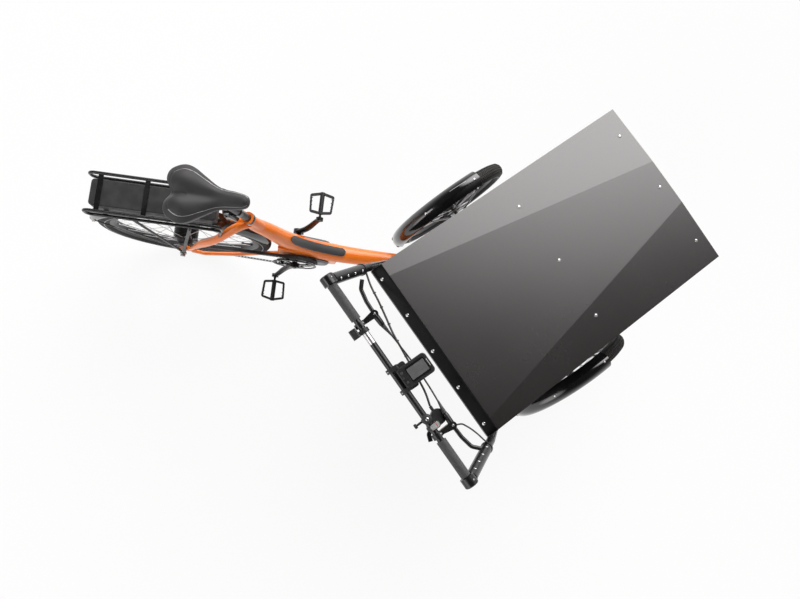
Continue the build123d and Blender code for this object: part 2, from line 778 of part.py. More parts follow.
front_y = box_front_y + 24
with BuildPart() as front_chassis:
    for side in (-1, 1):
        with BuildSketch(Plane.XY.offset(rail_low)):
            with Locations((side * rail_x, (front_y + arm_foot_y + rail_width / 2) / 2)):
                Rectangle(rail_width, arm_foot_y + rail_width / 2 - front_y)
        extrude(amount=floor_low - rail_low - seat_gap)
        # Carrier plate and stub axle of each wheel
        with BuildSketch(side_plane(side * carrier_x)):
            with Locations((front_axle_y, (rail_low + 30 + front_wheel_radius) / 2)):
                Rectangle(carrier_width, rail_low + 10 - front_wheel_radius)
            with Locations((front_axle_y, front_wheel_radius)):
                Circle(carrier_width / 2)
            with BuildSketch(mode=Mode.PRIVATE) as caliper_tab:
                with Locations((front_axle_y, front_wheel_radius)):
                    Circle(20)
                with Locations(caliper_lug(0)[1:]):
                    Circle(14)
                make_hull()
            add(caliper_tab.sketch)
        extrude(amount=side * carrier_thickness)
        add(rod((side * carrier_x, front_axle_y, front_wheel_radius),
                (side * (front_track_half + 48), front_axle_y, front_wheel_radius), front_axle_radius))
        with BuildSketch(side_plane(side * (front_track_half + 40), front_axle_y, front_wheel_radius)):
            RegularPolygon(13, 6)
        extrude(amount=side * 10)
    for y, reach in ((front_y + 20, rail_x), (0, rail_x), (front_axle_y, carrier_x + carrier_thickness),
                     (arm_foot_y, arm_foot_x + arm_radius)):
        with BuildSketch(Plane.XY.offset(rail_low)):
            with Locations((0, y)):
                Rectangle(2 * reach, rail_width)
        extrude(amount=floor_low - rail_low - seat_gap)
    # Yoke that holds the kingpin above and below the head tube
    with BuildSketch(side_plane(-30)):
        with BuildLine():
            Polyline((-120, rail_low), (-120, head_low - 18), (30, head_low - 18), (30, head_low - 0.5),
                     (-50, head_low - 0.5), (-50, rail_low), close=True)
        make_face()
        fillet(vertices().group_by(Axis.Y)[0], 8)
    extrude(amount=60)
    with BuildSketch(Plane.XY.offset(head_low - 10)):
        Circle(kingpin_radius)
    extrude(amount=rail_low + 4 - head_low + 10)
    with BuildSketch(Plane.XY.offset(head_high + 0.5)):
        Circle(head_radius)
    extrude(amount=rail_low - head_high)

# ------------------------------------------------------------------ cargo box
side_slope = (lid_crease_z - lid_front_z - lid_rise) / (lid_crease_y - lid_front_y)
facet_fall = lid_rise / (lid_half_width - crease_front_x)
facet_slope = (
    lid_crease_z - lid_front_z - lid_rise + facet_fall * (crease_rear_x - crease_front_x)
) / (lid_crease_y - lid_front_y)


def centre_height(y):
    """Height of the lid's middle facet."""
    return lid_front_z + lid_rise + side_slope * (y - lid_front_y)


def side_height(x, y):
    """Height of the lid's side facets."""
    return lid_front_z + facet_fall * (lid_half_width - abs(x)) + facet_slope * (y - lid_front_y)


under = lid_sheet + 1.2
inner_half = box_half_width - box_wall
strip_front_y = lid_crease_y + hinge_leaf_gap
strip_slope = (lid_crease_z - strip_rear_z) / (strip_rear_y - lid_sheet - strip_front_y)
rear_top = strip_rear_z - lid_sheet + (strip_rear_y - lid_sheet - box_rear_y) * strip_slope - seat_gap
with BuildPart() as box_floor:
    # Bottom panel set between the four walls
    with BuildSketch(Plane.XY.offset(floor_low)):
        with Locations((0, (box_front_y + box_rear_foot_y) / 2)):
            Rectangle(2 * inner_half, box_rear_foot_y - box_front_y - 2 * box_wall)
    extrude(amount=floor_thickness)

box_side_parts = {}
for side, name in ((1, "left"), (-1, "right")):
    with BuildPart() as box_side:
        with BuildSketch(side_plane(side * (box_half_width - box_wall))):
            with BuildLine():
                Polyline(
                    (box_front_y, floor_low),
                    (box_rear_foot_y, floor_low),
                    (box_rear_y, rear_top),
                    (lid_crease_y, side_height(box_half_width, lid_crease_y) - under),
                    (box_front_y, side_height(box_half_width, box_front_y) - under),
                    close=True,
                )
            make_face()
        extrude(amount=side * box_wall)
    box_side_parts[name] = box_side.part

with BuildPart() as box_front:
    with BuildSketch(Plane.XZ.offset(-(box_front_y + box_wall))):
        with BuildLine():
            Polyline(
                (-inner_half, floor_low),
                (inner_half, floor_low),
                (inner_half, side_height(inner_half, box_front_y) - under),
                (crease_front_x, centre_height(box_front_y) - under),
                (-crease_front_x, centre_height(box_front_y) - under),
                (-inner_half, side_height(inner_half, box_front_y) - under),
                close=True,
            )
        make_face()
    extrude(amount=box_wall)
with BuildPart() as box_rear:
    with BuildSketch(side_plane(-inner_half)):
        with BuildLine():
            Polyline(
                (box_rear_foot_y - box_wall, floor_low),
                (box_rear_foot_y, floor_low),
                (box_rear_y, rear_top),
                (box_rear_y - box_wall, rear_top + box_wall * strip_slope),
                close=True,
            )
        make_face()
    extrude(amount=2 * inner_half)

# ------------------------------------------------------------------ hinge strip and lid
hinge_z = lid_crease_z + 1
with BuildPart() as hinge_strip:
    with BuildSketch(side_plane(-lid_half_width)):
        with BuildLine():
            Polyline(
                (strip_front_y, lid_crease_z),
                (strip_rear_y, strip_rear_z),
                (strip_rear_y, strip_rear_z - 18),
                (strip_rear_y - lid_sheet, strip_rear_z - 18),
                (strip_rear_y - lid_sheet, strip_rear_z - lid_sheet),
                (strip_front_y, lid_crease_z - lid_sheet),
                close=True,
            )
        make_face()
    extrude(amount=2 * lid_half_width)
    add(rod((-lid_half_width, lid_crease_y, hinge_z), (lid_half_width, lid_crease_y, hinge_z), 2.2))


def roof(wall, drop):
    """Solid under the three facets of the lid, drawn in by a wall and lowered by a drop."""
    half = lid_half_width - wall
    front = lid_front_y + wall
    back = lid_crease_y - hinge_gap
    with BuildPart() as block:
        with BuildSketch(Plane.XY.offset(lid_front_z - 60)):
            with Locations((0, (front + back) / 2)):
                Rectangle(2 * half, back - front)
        extrude(amount=260)
        middle = Plane(
            origin=(0, lid_front_y, centre_height(lid_front_y) - drop),
            x_dir=across,
            z_dir=(0, -side_slope, 1),
        )
        split(bisect_by=middle, keep=Keep.BOTTOM)
        for side in (-1, 1):
            facet = Plane(
                origin=(side * lid_half_width, lid_front_y, lid_front_z - drop),
                z_dir=(side * facet_fall, -facet_slope, 1),
            )
            split(bisect_by=facet, keep=Keep.BOTTOM)
    return block.part


with BuildPart() as lid:
    add(roof(0, 0))
    add(roof(lid_sheet, lid_sheet), mode=Mode.SUBTRACT)
    # The skirt's lower edge runs parallel to the middle facet
    hem = Plane(
        origin=(0, lid_front_y, centre_height(lid_front_y) - lid_rise - lid_skirt),
        x_dir=across,
        z_dir=(0, -side_slope, 1),
    )
    split(bisect_by=hem, keep=Keep.TOP)

# ------------------------------------------------------------------ handlebar
with BuildPart() as handlebar:
    add(rod((-bar_half + 14, bar_y, bar_z), (bar_half - 14, bar_y, bar_z), bar_radius))

with BuildPart() as handlebar_arms:
    for side in (-1, 1):
        with BuildLine():
            route = FilletPolyline(
                (side * arm_foot_x, arm_foot_y, floor_low - seat_gap),
                (side * arm_foot_x, arm_foot_y, arm_knee_z),
                (side * arm_strip_x, arm_strip_y, arm_strip_z),
                (side * (bar_half + 1), bar_y - 6, bar_z - 9),
                radius=60,
            )
        with BuildSketch(Plane(origin=route @ 0, z_dir=route % 0)):
            Circle(arm_radius)
        sweep(path=route)
        # Clamp sleeve in which the upper arm slides, with its row of holes
        sleeve_low = route @ 0.72
        sleeve_top = route @ 0.985
        sleeve_way = (sleeve_top - sleeve_low).normalized()
        add(rod(tuple(sleeve_low), tuple(sleeve_top), sleeve_radius))
        for step in (22, 46, 70):
            hole = sleeve_low + sleeve_way * step
            drill = Plane(origin=hole, x_dir=across, z_dir=sleeve_way.cross(across))
            with BuildSketch(drill):
                Circle(3.2)
            extrude(amount=sleeve_radius + 2, mode=Mode.SUBTRACT)
        # Round head that takes the bar's end
        with BuildSketch(side_plane(side * (bar_half - 14 + seat_gap), bar_y, bar_z)):
            Circle(head_disc_radius)
        extrude(amount=side * 32)
        chamfer(faces().filter_by(Axis.X).sort_by(Axis.X)[-1 if side > 0 else 0].edges(), 3)
    # Clear way for the bar and its grips between the two arms
    add(rod((-bar_half + 14 - seat_gap, bar_y, bar_z), (bar_half - 14 + seat_gap, bar_y, bar_z),
            grip_radius + 2), mode=Mode.SUBTRACT)

with BuildPart() as grips:
    for side in (-1, 1):
        with BuildSketch(side_plane(side * (bar_half - 16), bar_y, bar_z)):
            Circle(grip_radius)
            Circle(bar_radius + seat_gap, mode=Mode.SUBTRACT)
        extrude(amount=-side * grip_length)

with BuildPart() as display:
    # Tilted housing with a raised bezel round the screen
    face_plane = Plane(origin=(-5, bar_y - 57, bar_z + 22), x_dir=across, z_dir=(0, 0.12, 1))
    with BuildSketch(face_plane):
        RectangleRounded(68, 102, 12)
    extrude(amount=13)
    chamfer(faces().sort_by(Axis.Z)[-1].edges(), 3)
    with BuildSketch(face_plane.offset(12)):
        with Locations((0, -7)):
            RectangleRounded(50, 66, 4)
    extrude(amount=2, mode=Mode.SUBTRACT)
    # Bracket from the two clamps on the bar to the housing
    with BuildSketch(face_plane.offset(-6)):
        with Locations((3, 31)):
            RectangleRounded(88, 34, 8)
        with Locations((0, -4)):
            RectangleRounded(34, 60, 8)
    extrude(amount=6.5)
    for x in (-38, 37):
        with BuildSketch(side_plane(x - 7)):
            with Locations((bar_y, bar_z)):
                Circle(18)
            with Locations((bar_y - 16, bar_z + 18)):
                Circle(5)
            make_hull()
            with Locations((bar_y, bar_z)):
                Circle(bar_radius + seat_gap, mode=Mode.SUBTRACT)
        extrude(amount=14)

lever_root = (205, bar_y - 56, bar_z - 6)
with BuildPart() as brake_levers:
    for side in (-1, 1):
        with BuildSketch(side_plane(side * 194, bar_y, bar_z)):
            Circle(17)
            Circle(bar_radius + seat_gap, mode=Mode.SUBTRACT)
        extrude(amount=side * 16)
        # Body out to the pivot, with the cable's adjuster on its inner side
        with BuildSketch(Plane.XY.offset(bar_z - 15)):
            with Locations((side * 202, bar_y - 20)):
                Circle(8)
            with Locations((side * lever_root[0], lever_root[1])):
                Circle(12)
            make_hull()
        extrude(amount=18)
        add(rod((side * lever_root[0], lever_root[1], lever_root[2]),
                (side * adjuster_x, lever_root[1], lever_root[2]), 5.5))
        with BuildLine():
            route = FilletPolyline(
                (side * lever_root[0], lever_root[1], lever_root[2]),
                (side * 250, bar_y - 58, bar_z - 6),
                (side * 290, bar_y - 66, bar_z - 6),
                (side * 312, bar_y - 86, bar_z - 6),
                radius=20,
            )
        with BuildSketch(Plane(origin=route @ 0, z_dir=route % 0)):
            Ellipse(6.5, 4.5)
        sweep(path=route)

with BuildPart() as bell:
    with BuildSketch(side_plane(bell_x - 6, bar_y, bar_z)):
        Circle(15)
        with Locations((0, 13)):
            Rectangle(12, 8)
        Circle(bar_radius + seat_gap, mode=Mode.SUBTRACT)
    extrude(amount=12)
    # Domed cap and the thumb knob behind it
    with BuildSketch(Plane.XY.offset(bar_z + 16)):
        with Locations((bell_x, bar_y)):
            Circle(16)
    extrude(amount=12)
    fillet(faces().sort_by(Axis.Z)[-1].edges(), 9)
    add(rod((bell_x, bar_y + 13, bar_z), (bell_x, bar_y + 35, bar_z), 3.5))
    add(rod((bell_x, bar_y + 34, bar_z), (bell_x, bar_y + 42, bar_z), 7.5))

with BuildPart() as shifter:
    with BuildSketch(side_plane(shifter_x - 6, bar_y, bar_z)):
        Circle(16)
        Circle(bar_radius + seat_gap, mode=Mode.SUBTRACT)
    extrude(amount=12)
    # Round pod under the bar's front, with its indicator on top and its thumb lever
    with BuildSketch(Plane.XY.offset(bar_z - 41)):
        with Locations((shifter_x + 12, bar_y - 38)):
            Circle(24)
        with Locations((shifter_x, bar_y - 4)):
            Circle(14)
        make_hull()
    extrude(amount=28)
    chamfer(faces().sort_by(Axis.Z)[0].edges(), 3)
    with BuildSketch(Plane(origin=(shifter_x, bar_y - 10, bar_z + 13.5), x_dir=across, z_dir=(0, 0.15, 1))):
        RectangleRounded(22, 34, 9)
    extrude(amount=9)
    chamfer(faces().sort_by(Axis.Z)[-1].edges(), 2)
    with BuildLine():
        route = FilletPolyline(
            (shifter_x - 4, bar_y - 8, bar_z - 34),
            (shifter_x - 16, bar_y + 16, bar_z - 32),
            (shifter_x - 37, bar_y + 24, bar_z - 30),
            radius=10,
        )
    with BuildSketch(Plane(origin=route @ 0, z_dir=route % 0)):
        RectangleRounded(14, 7, 3)
    sweep(path=route)
    # Barrel where the shift cable enters
    add(rod((shifter_x + 30, bar_y - 36, bar_z - 29), (shift_barrel_x, bar_y - 36, bar_z - 29), 5))

with BuildPart() as assist_switch:
    with BuildSketch(side_plane(switch_x - 7, bar_y, bar_z)):
        Circle(16)
        with Locations((24, 2)):
            RectangleRounded(30, 22, 5)
        make_hull()
        Circle(bar_radius + seat_gap, mode=Mode.SUBTRACT)
    extrude(amount=14)
    with BuildSketch(side_plane(switch_x - 8, bar_y + 30, bar_z + 3)):
        RectangleRounded(22, 28, 5)
    extrude(amount=32)

# ------------------------------------------------------------------ cables
def lay_cable(points, radius):
    """Held cable: straight runs joined by arcs as large as their runs allow."""
    runs = [Vector(*b) - Vector(*a) for a, b in zip(points, points[1:])]
    radii = []
    for before, after in zip(runs, runs[1:]):
        turn = radians(before.get_angle(after))
        radii.append(0.45 * min(before.length, after.length) / tan(turn / 2))
    with BuildPart() as cable:
        with BuildLine():
            path = FilletPolyline(*points, radius=radii)
        with BuildSketch(Plane(origin=path @ 0, z_dir=path % 0)):
            Circle(radius)
        sweep(path=path)
    length = cable.part.volume / (pi * radius ** 2)
    print("cable length", round(length), "smallest radius", round(min(radii)))
    return cable.part


lever_cable_z = lever_root[2]
shift_cable = lay_cable(
    [
        (arm_strip_x - 14, arm_strip_y + 22, 903), (292, 642, 921), (242, 652, 950), (186, 668, 992),
        (125, 686, 1030), (69, 694, 1049), (20, 700, 1058), (-32, 707, 1066), (-80, 714, 1074),
        (shift_barrel_x + 3 * seat_gap, bar_y - 36, bar_z - 29),
    ],
    cable_radius + 0.8,
)
brake_cable = lay_cable(
    [
        (adjuster_x - seat_gap, lever_root[1], lever_cable_z), (158, 706, 1103), (117, 700, 1093),
        (74, 697, 1086), (24, 694, 1083), (-26, 694, 1083), (-74, 696, 1086), (-117, 700, 1093),
        (-158, 706, 1103), (-adjuster_x + seat_gap, lever_root[1], lever_cable_z),
    ],
    cable_radius,
)
right_hose = lay_cable(
    [
        (-212, lever_root[1] - 12 - seat_gap, lever_cable_z - 6), (-220, 680, 1092), (-248, 664, 1062),
        (-284, 648, 1018), (-318, 636, 972), (-338, 626, 930),
    ],
    cable_radius,
)

with BuildPart() as cables:
    add([shift_cable, brake_cable, right_hose])

# ------------------------------------------------------------------ front mudguards
guard_inner = front_wheel_radius + guard_gap
guard_edge = front_guard_width / 2
front_guard_parts = {}
for side, name in ((1, "left"), (-1, "right")):
    centre = (side * front_track_half, front_axle_y, front_wheel_radius)
    blade = make_guard(centre, guard_inner, front_guard_width, -6, 106)
    inner_x = side * (front_track_half - guard_edge - 2)
    with BuildPart() as guard:
        add(blade)
        for foot_angle, head_angle in ((98, 101), (72, 52)):
            foot = wheel_angle(centre, 24, foot_angle, side * (carrier_x + carrier_thickness + 3 + seat_gap))
            head = wheel_angle(centre, guard_inner - guard_lip + 4, head_angle, inner_x)
            add(rod(foot, head, 3.2))
        with BuildSketch(side_plane(side * (carrier_x + carrier_thickness + seat_gap), *centre[1:])):
            Circle(30)
            Circle(front_axle_radius + 1, mode=Mode.SUBTRACT)
        extrude(amount=side * 5)
    front_guard_parts[name] = guard.part

with BuildPart() as front_reflectors:
    for side in (-1, 1):
        add(make_reflector((side * front_track_half, front_axle_y, front_wheel_radius), guard_inner,
                           front_guard_width, -6))

with BuildPart() as brake_calipers:
    rotor_mid = front_track_half - 37
    for side in (-1, 1):
        seat = wheel_angle(front_axle, rotor_radius + 2, caliper_angle, side * (rotor_mid - 22))
        with BuildSketch(side_plane(*seat)):
            with Locations(Rotation(0, 0, caliper_angle)):
                RectangleRounded(50, 36, 6)
        extrude(amount=side * 30)
        # Slot for the brake disc
        with BuildSketch(side_plane(side * (rotor_mid - rotor_thickness), front_axle_y, front_wheel_radius)):
            Circle(rotor_radius + 3)
        extrude(amount=side * 2 * rotor_thickness, mode=Mode.SUBTRACT)
        # Lug that bolts to the carrier plate
        lug_x = side * (carrier_x + carrier_thickness + seat_gap)
        with BuildSketch(side_plane(*caliper_lug(lug_x))):
            Circle(9)
        extrude(amount=side * 12)

# ------------------------------------------------------------------ writing
mirrored = Plane.YZ
frame_pieces = {
    "main_frame": main_frame.part,
    "motor": motor.part,
    "seat_stays": seat_stays.part,
    "chain_stays": chain_stays.part,
    "rear_axle": rear_axle_pin.part,
    "seatpost": seatpost.part,
    "saddle_rails": saddle_rails.part,
    "saddle": saddle.part,
    "chain": chain.part,
    "chain_guard": chain_guard.part,
    "beam_pad": beam_pad.part,
    "rear_rack": rear_rack.part,
    "battery": battery.part,
    "rear_mudguard": rear_mudguard.part,
    "rear_reflector": rear_reflector.part,
    "rear_tyre": rear_tyre_part,
    "rear_wheel": rear_wheel_part,
    "cranks": cranks.part,
    "chainring": chainring.part,
    "left_pedal": left_pedal_part,
    "right_pedal": right_pedal_part,
}
front_pieces = {
    "front_chassis": front_chassis.part,
    "box_floor": box_floor.part,
    "box_side_left": box_side_parts["left"],
    "box_side_right": box_side_parts["right"],
    "box_front": box_front.part,
    "box_rear": box_rear.part,
    "hinge_strip": hinge_strip.part,
    "lid": lid.part,
    "handlebar": handlebar.part,
    "handlebar_arms": handlebar_arms.part,
    "grips": grips.part,
    "display": display.part,
    "brake_levers": brake_levers.part,
    "bell": bell.part,
    "shifter": shifter.part,
    "assist_switch": assist_switch.part,
    "cables": cables.part,
    "front_reflectors": front_reflectors.part,
    "front_left_mudguard": front_guard_parts["left"],
    "front_right_mudguard": front_guard_parts["right"],
    "brake_calipers": brake_calipers.part,
    "front_left_tyre": front_left_tyre_part,
    "front_left_wheel": front_left_wheel_part,
    "front_right_tyre": front_left_tyre_part.mirror(mirrored),
    "front_right_wheel": front_left_wheel_part.mirror(mirrored),
}
pieces = dict(frame_pieces)
for name, piece in front_pieces.items():
    pieces[name] = piece.rotate(Axis.Z, steer_rest)

# The row's origin is the middle of the parked tricycle's footprint, on the ground
boxes = [piece.bounding_box() for piece in pieces.values()]
middle_x = (min(b.min.X for b in boxes) + max(b.max.X for b in boxes)) / 2
middle_y = (min(b.min.Y for b in boxes) + max(b.max.Y for b in boxes)) / 2
print("row shift", -middle_x, -middle_y)
for name, piece in pieces.items():
    placed = piece.moved(Location((-middle_x, -middle_y, 0)))
    placed.label = name
    export_step(placed, f"parts/{name}.step")
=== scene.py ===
import json
import math

import bmesh
import bpy
from mathutils import Matrix, Vector


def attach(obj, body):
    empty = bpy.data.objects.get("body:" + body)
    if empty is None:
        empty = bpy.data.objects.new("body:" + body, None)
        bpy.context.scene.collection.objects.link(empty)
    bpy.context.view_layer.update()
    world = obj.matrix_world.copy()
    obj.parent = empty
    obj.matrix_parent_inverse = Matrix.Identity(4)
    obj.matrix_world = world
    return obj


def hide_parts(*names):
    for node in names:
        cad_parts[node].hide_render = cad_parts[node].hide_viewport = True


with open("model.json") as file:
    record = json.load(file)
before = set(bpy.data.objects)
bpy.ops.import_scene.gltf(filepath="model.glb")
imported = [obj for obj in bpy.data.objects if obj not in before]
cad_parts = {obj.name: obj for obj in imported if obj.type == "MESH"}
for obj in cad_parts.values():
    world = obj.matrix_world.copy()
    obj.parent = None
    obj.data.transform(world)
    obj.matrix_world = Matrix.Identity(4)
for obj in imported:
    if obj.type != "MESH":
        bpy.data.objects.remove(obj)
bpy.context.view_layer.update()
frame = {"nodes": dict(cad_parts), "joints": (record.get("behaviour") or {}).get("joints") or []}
nodes = frame["nodes"]
joints = {joint["name"]: joint for joint in frame["joints"]}
print("frame loaded,", len(nodes), "nodes")


def axesTurn(x, y, z):
    # turn that carries the three axes to three ways
    return Matrix((x, y, z)).transposed().to_4x4()


# Places are in millimetres of each unit's own frame: x to the rider's left, y to the rear, z up.
# The rear unit stands square, and the front unit is parked turned about the steering pivot.
mm = 0.001
pivot = Vector(joints["steering"]["pos_m"]) * Vector((1, 1, 0))
leftWay = -Vector(joints["lid_hinge"]["axis"])
rearWay = Vector((-leftWay.y, leftWay.x, 0))
upWay = Vector((0, 0, 1))
rearUnit = Matrix.Translation(pivot) @ Matrix.Scale(mm, 4)
frontUnit = Matrix.Translation(pivot) @ axesTurn(leftWay, rearWay, upWay) @ Matrix.Scale(mm, 4)
frontBodies = ("front_unit", "lid", "front_left_wheel", "front_right_wheel")


def selectOnly(*pieces):
    bpy.ops.object.select_all(action="DESELECT")
    for piece in pieces:
        piece.select_set(True)
    bpy.context.view_layer.objects.active = pieces[0]


def editMesh(piece, *steps):
    # a step is what to pick ("FACE", "EDGE" or "VERT"), a test of each one, an operator and its settings
    selectOnly(piece)
    bpy.ops.object.mode_set(mode="EDIT")
    for kind, test, tool, settings in steps:
        bpy.ops.mesh.select_mode(type=kind)
        bpy.ops.mesh.select_all(action="DESELECT")
        mesh = bmesh.from_edit_mesh(piece.data)
        mesh.normal_update()
        for item in {"FACE": mesh.faces, "EDGE": mesh.edges, "VERT": mesh.verts}[kind]:
            if test(item):
                item.select_set(True)
        mesh.select_flush_mode()
        bmesh.update_edit_mesh(piece.data)
        tool(**settings)
    bpy.ops.object.mode_set(mode="OBJECT")


def everything(item):
    return True


def topFace(face):
    return face.normal.z > 0.9


def underFace(face):
    return face.normal.z < -0.9


def joinPieces(pieces):
    selectOnly(*pieces)
    if len(pieces) > 1:
        bpy.ops.object.join()
    return pieces[0]


def placed(master, *places):
    # one mesh of the master at the first place and a copy of it at each other place
    copies = [master]
    for place in places[1:]:
        copy = master.copy()
        copy.data = master.data.copy()
        bpy.context.collection.objects.link(copy)
        copies.append(copy)
    for copy, place in zip(copies, places):
        copy.data.transform(place)
    return joinPieces(copies)


def facing(point, way):
    # place whose z axis points along a way
    return Matrix.Translation(Vector(point)) @ Vector(way).to_track_quat("Z", "Y").to_matrix().to_4x4()


def applyModifier(piece, kind, **settings):
    selectOnly(piece)
    modifier = piece.modifiers.new(kind.lower(), kind)
    for key, value in settings.items():
        setattr(modifier, key, value)
    bpy.ops.object.modifier_apply(modifier=modifier.name)
    return piece


def ringArray(piece, centre, axis, count):
    # copies round an axle, by an array that turns with an empty
    turner = bpy.data.objects.new("turner", None)
    bpy.context.collection.objects.link(turner)
    turn = Matrix.Rotation(2 * math.pi / count, 4, Vector(axis))
    turner.matrix_world = Matrix.Translation(centre) @ turn @ Matrix.Translation(-centre)
    bpy.context.view_layer.update()
    applyModifier(piece, "ARRAY", count=count, use_relative_offset=False, use_object_offset=True,
                  offset_object=turner)
    bpy.data.objects.remove(turner)
    return piece


def turned(profile, vertices=24):
    # a round piece drawn ring by ring from its foot, in pairs of radius and height
    radius, height = profile[0]
    bpy.ops.object.select_all(action="DESELECT")
    bpy.ops.mesh.primitive_circle_add(vertices=vertices, radius=radius, fill_type="NGON",
                                      location=(0, 0, height))
    piece = bpy.context.object
    bpy.ops.object.transform_apply(location=True, rotation=False, scale=False)
    bpy.ops.object.mode_set(mode="EDIT")
    bpy.ops.mesh.select_mode(type="FACE")
    bpy.ops.mesh.select_all(action="SELECT")
    for nextRadius, nextHeight in profile[1:]:
        bpy.ops.mesh.extrude_region_move(TRANSFORM_OT_translate={"value": (0, 0, nextHeight - height)})
        share = nextRadius / radius
        bpy.ops.transform.resize(value=(share, share, 1), center_override=(0, 0, nextHeight))
        radius, height = nextRadius, nextHeight
    bpy.ops.mesh.select_all(action="SELECT")
    bpy.ops.mesh.normals_make_consistent(inside=False)
    bpy.ops.object.mode_set(mode="OBJECT")
    return piece


def plate(width, length, height, corner, edge=0.4):
    # a rounded plate that stands on z = 0, with its top edge eased
    bpy.ops.object.select_all(action="DESELECT")
    bpy.ops.mesh.primitive_plane_add(size=1)
    piece = bpy.context.object
    piece.scale = (width, length, 1)
    bpy.ops.object.transform_apply(location=False, rotation=False, scale=True)
    bpy.ops.object.mode_set(mode="EDIT")
    bpy.ops.mesh.select_all(action="SELECT")
    bpy.ops.mesh.bevel(offset=corner, segments=5, affect="VERTICES")
    bpy.ops.mesh.select_all(action="SELECT")
    bpy.ops.mesh.extrude_region_move(TRANSFORM_OT_translate={"value": (0, 0, height - edge)})
    bpy.ops.mesh.extrude_region_move(TRANSFORM_OT_translate={"value": (0, 0, edge)})
    bpy.ops.transform.resize(value=(1 - 2 * edge / width, 1 - 2 * edge / length, 1))
    bpy.ops.mesh.select_all(action="SELECT")
    bpy.ops.mesh.normals_make_consistent(inside=False)
    bpy.ops.object.mode_set(mode="OBJECT")
    return piece


def boltHead(radius, height):
    # domed cap screw with a socket, standing on z = 0
    shares = [(1, 0), (1, 0.3), (0.9, 0.68), (0.66, 0.93), (0.42, 1), (0.40, 0.45)]
    return turned([(radius * out, height * up) for out, up in shares], 20)


def onSide(side, *points):
    # the points as given on the left (1), or mirrored to the right (-1)
    return [Vector((side * x, y, z)) for x, y, z in points]


def finishPiece(parts, name, body, finish, smooth=35):
    # joins the parts, moves their mesh out of its unit's frame, and sets the finish and body
    obj = joinPieces(parts)
    obj.data.transform(frontUnit if body in frontBodies else rearUnit)
    obj.name = name
    obj.data.name = name
    obj.data.materials.clear()
    obj.data.materials.append(finishes[finish])
    if smooth:
        selectOnly(obj)
        bpy.ops.object.shade_smooth_by_angle(angle=math.radians(smooth))
    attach(obj, body)
    return obj


class Wire:
    # one output of a node, so that shader maths is written as sums
    def __init__(self, board, socket):
        self.board = board
        self.socket = socket

    def __add__(self, other):
        return self.board.calc("ADD", self, other)

    def __radd__(self, other):
        return self.board.calc("ADD", other, self)

    def __sub__(self, other):
        return self.board.calc("SUBTRACT", self, other)

    def __rsub__(self, other):
        return self.board.calc("SUBTRACT", other, self)

    def __mul__(self, other):
        return self.board.calc("MULTIPLY", self, other)

    def __rmul__(self, other):
        return self.board.calc("MULTIPLY", other, self)

    def __gt__(self, other):
        return self.board.calc("GREATER_THAN", self, other)

    def __lt__(self, other):
        return self.board.calc("LESS_THAN", self, other)


class ShaderBoard:
    # a node tree that is written as sums
    def __init__(self, tree):
        self.tree = tree

    def feed(self, socket, value):
        if isinstance(value, Wire):
            self.tree.links.new(value.socket, socket)
        elif socket.type == "RGBA" and len(value) == 3:
            socket.default_value = (*value, 1)
        else:
            socket.default_value = value

    def node(self, kind, settings=None, values=None, out=0):
        made = self.tree.nodes.new(kind)
        for key, value in (settings or {}).items():
            setattr(made, key, value)
        for key, value in (values or {}).items():
            self.feed(made.inputs[key], value)
        return Wire(self, made.outputs[out])

    def calc(self, operation, *values):
        return self.node("ShaderNodeMath", {"operation": operation}, dict(enumerate(values)))

    def vectorCalc(self, operation, first, second, out=0):
        return self.node("ShaderNodeVectorMath", {"operation": operation}, {0: first, 1: second}, out)

    def clamp(self, value):
        return self.node("ShaderNodeClamp", None, {0: value})

    def span(self, value, low, high, newLow, newHigh):
        return self.node("ShaderNodeMapRange", None, {0: value, 1: low, 2: high, 3: newLow, 4: newHigh})


socketNames = {
    "color": "Base Color", "rough": "Roughness", "metal": "Metallic", "coat": "Coat Weight",
    "coatRough": "Coat Roughness", "sheen": "Sheen Weight", "sheenRough": "Sheen Roughness",
    "ior": "IOR", "specular": "Specular IOR Level", "normal": "Normal",
}


class Finish(ShaderBoard):
    # one material, built round its principled shader
    def __init__(self, name, **constants):
        self.material = bpy.data.materials.new(name)
        self.material.use_nodes = True
        super().__init__(self.material.node_tree)
        self.shader = self.tree.nodes["Principled BSDF"]
        self.place = self.node("ShaderNodeTexCoord", out="Object")
        for key, value in constants.items():
            self.set(key, value)

    def set(self, key, value):
        self.feed(self.shader.inputs[socketNames[key]], value)

    def noise(self, scale, detail, roughness=0.55):
        return self.node("ShaderNodeTexNoise", None, {"Vector": self.place, "Scale": scale,
                                                      "Detail": detail, "Roughness": roughness})

    def cells(self, scale):
        return self.node("ShaderNodeTexVoronoi", None, {"Vector": self.place, "Scale": scale})

    def layer(self, weight, kind, *settings):
        made = {"noise": self.noise, "cells": self.cells}[kind](*settings)
        return made if weight == 1 else made * weight

    def waves(self, length, pitch):
        return self.calc("SINE", length * (2 * math.pi / pitch))

    def blend(self, mask, first, second):
        return self.node("ShaderNodeMix", {"data_type": "RGBA"}, {0: mask, 6: first, 7: second}, out=2)

    def tone(self, mask, edges, colors):
        # from one colour or grey to another, over a span of the mask
        return self.blend(self.span(mask, *edges, 0, 1), *(asColor(color) for color in colors))

    def bump(self, height, strength, distance):
        self.set("normal", self.node("ShaderNodeBump", None, {"Height": height, "Strength": strength,
                                                              "Distance": distance}))

    def along(self, origin, way):
        # distance along a way from a point, in metres
        offset = self.vectorCalc("SUBTRACT", self.place, tuple(origin))
        return self.vectorCalc("DOT_PRODUCT", offset, tuple(way), "Value")

    def radial(self, centre, axis):
        # distance out from an axle, in metres
        offset = self.vectorCalc("SUBTRACT", self.place, tuple(centre))
        cross = self.vectorCalc("CROSS_PRODUCT", offset, tuple(axis))
        return self.node("ShaderNodeVectorMath", {"operation": "LENGTH"}, {0: cross}, "Value")


def gray(value):
    return (value, value, value)


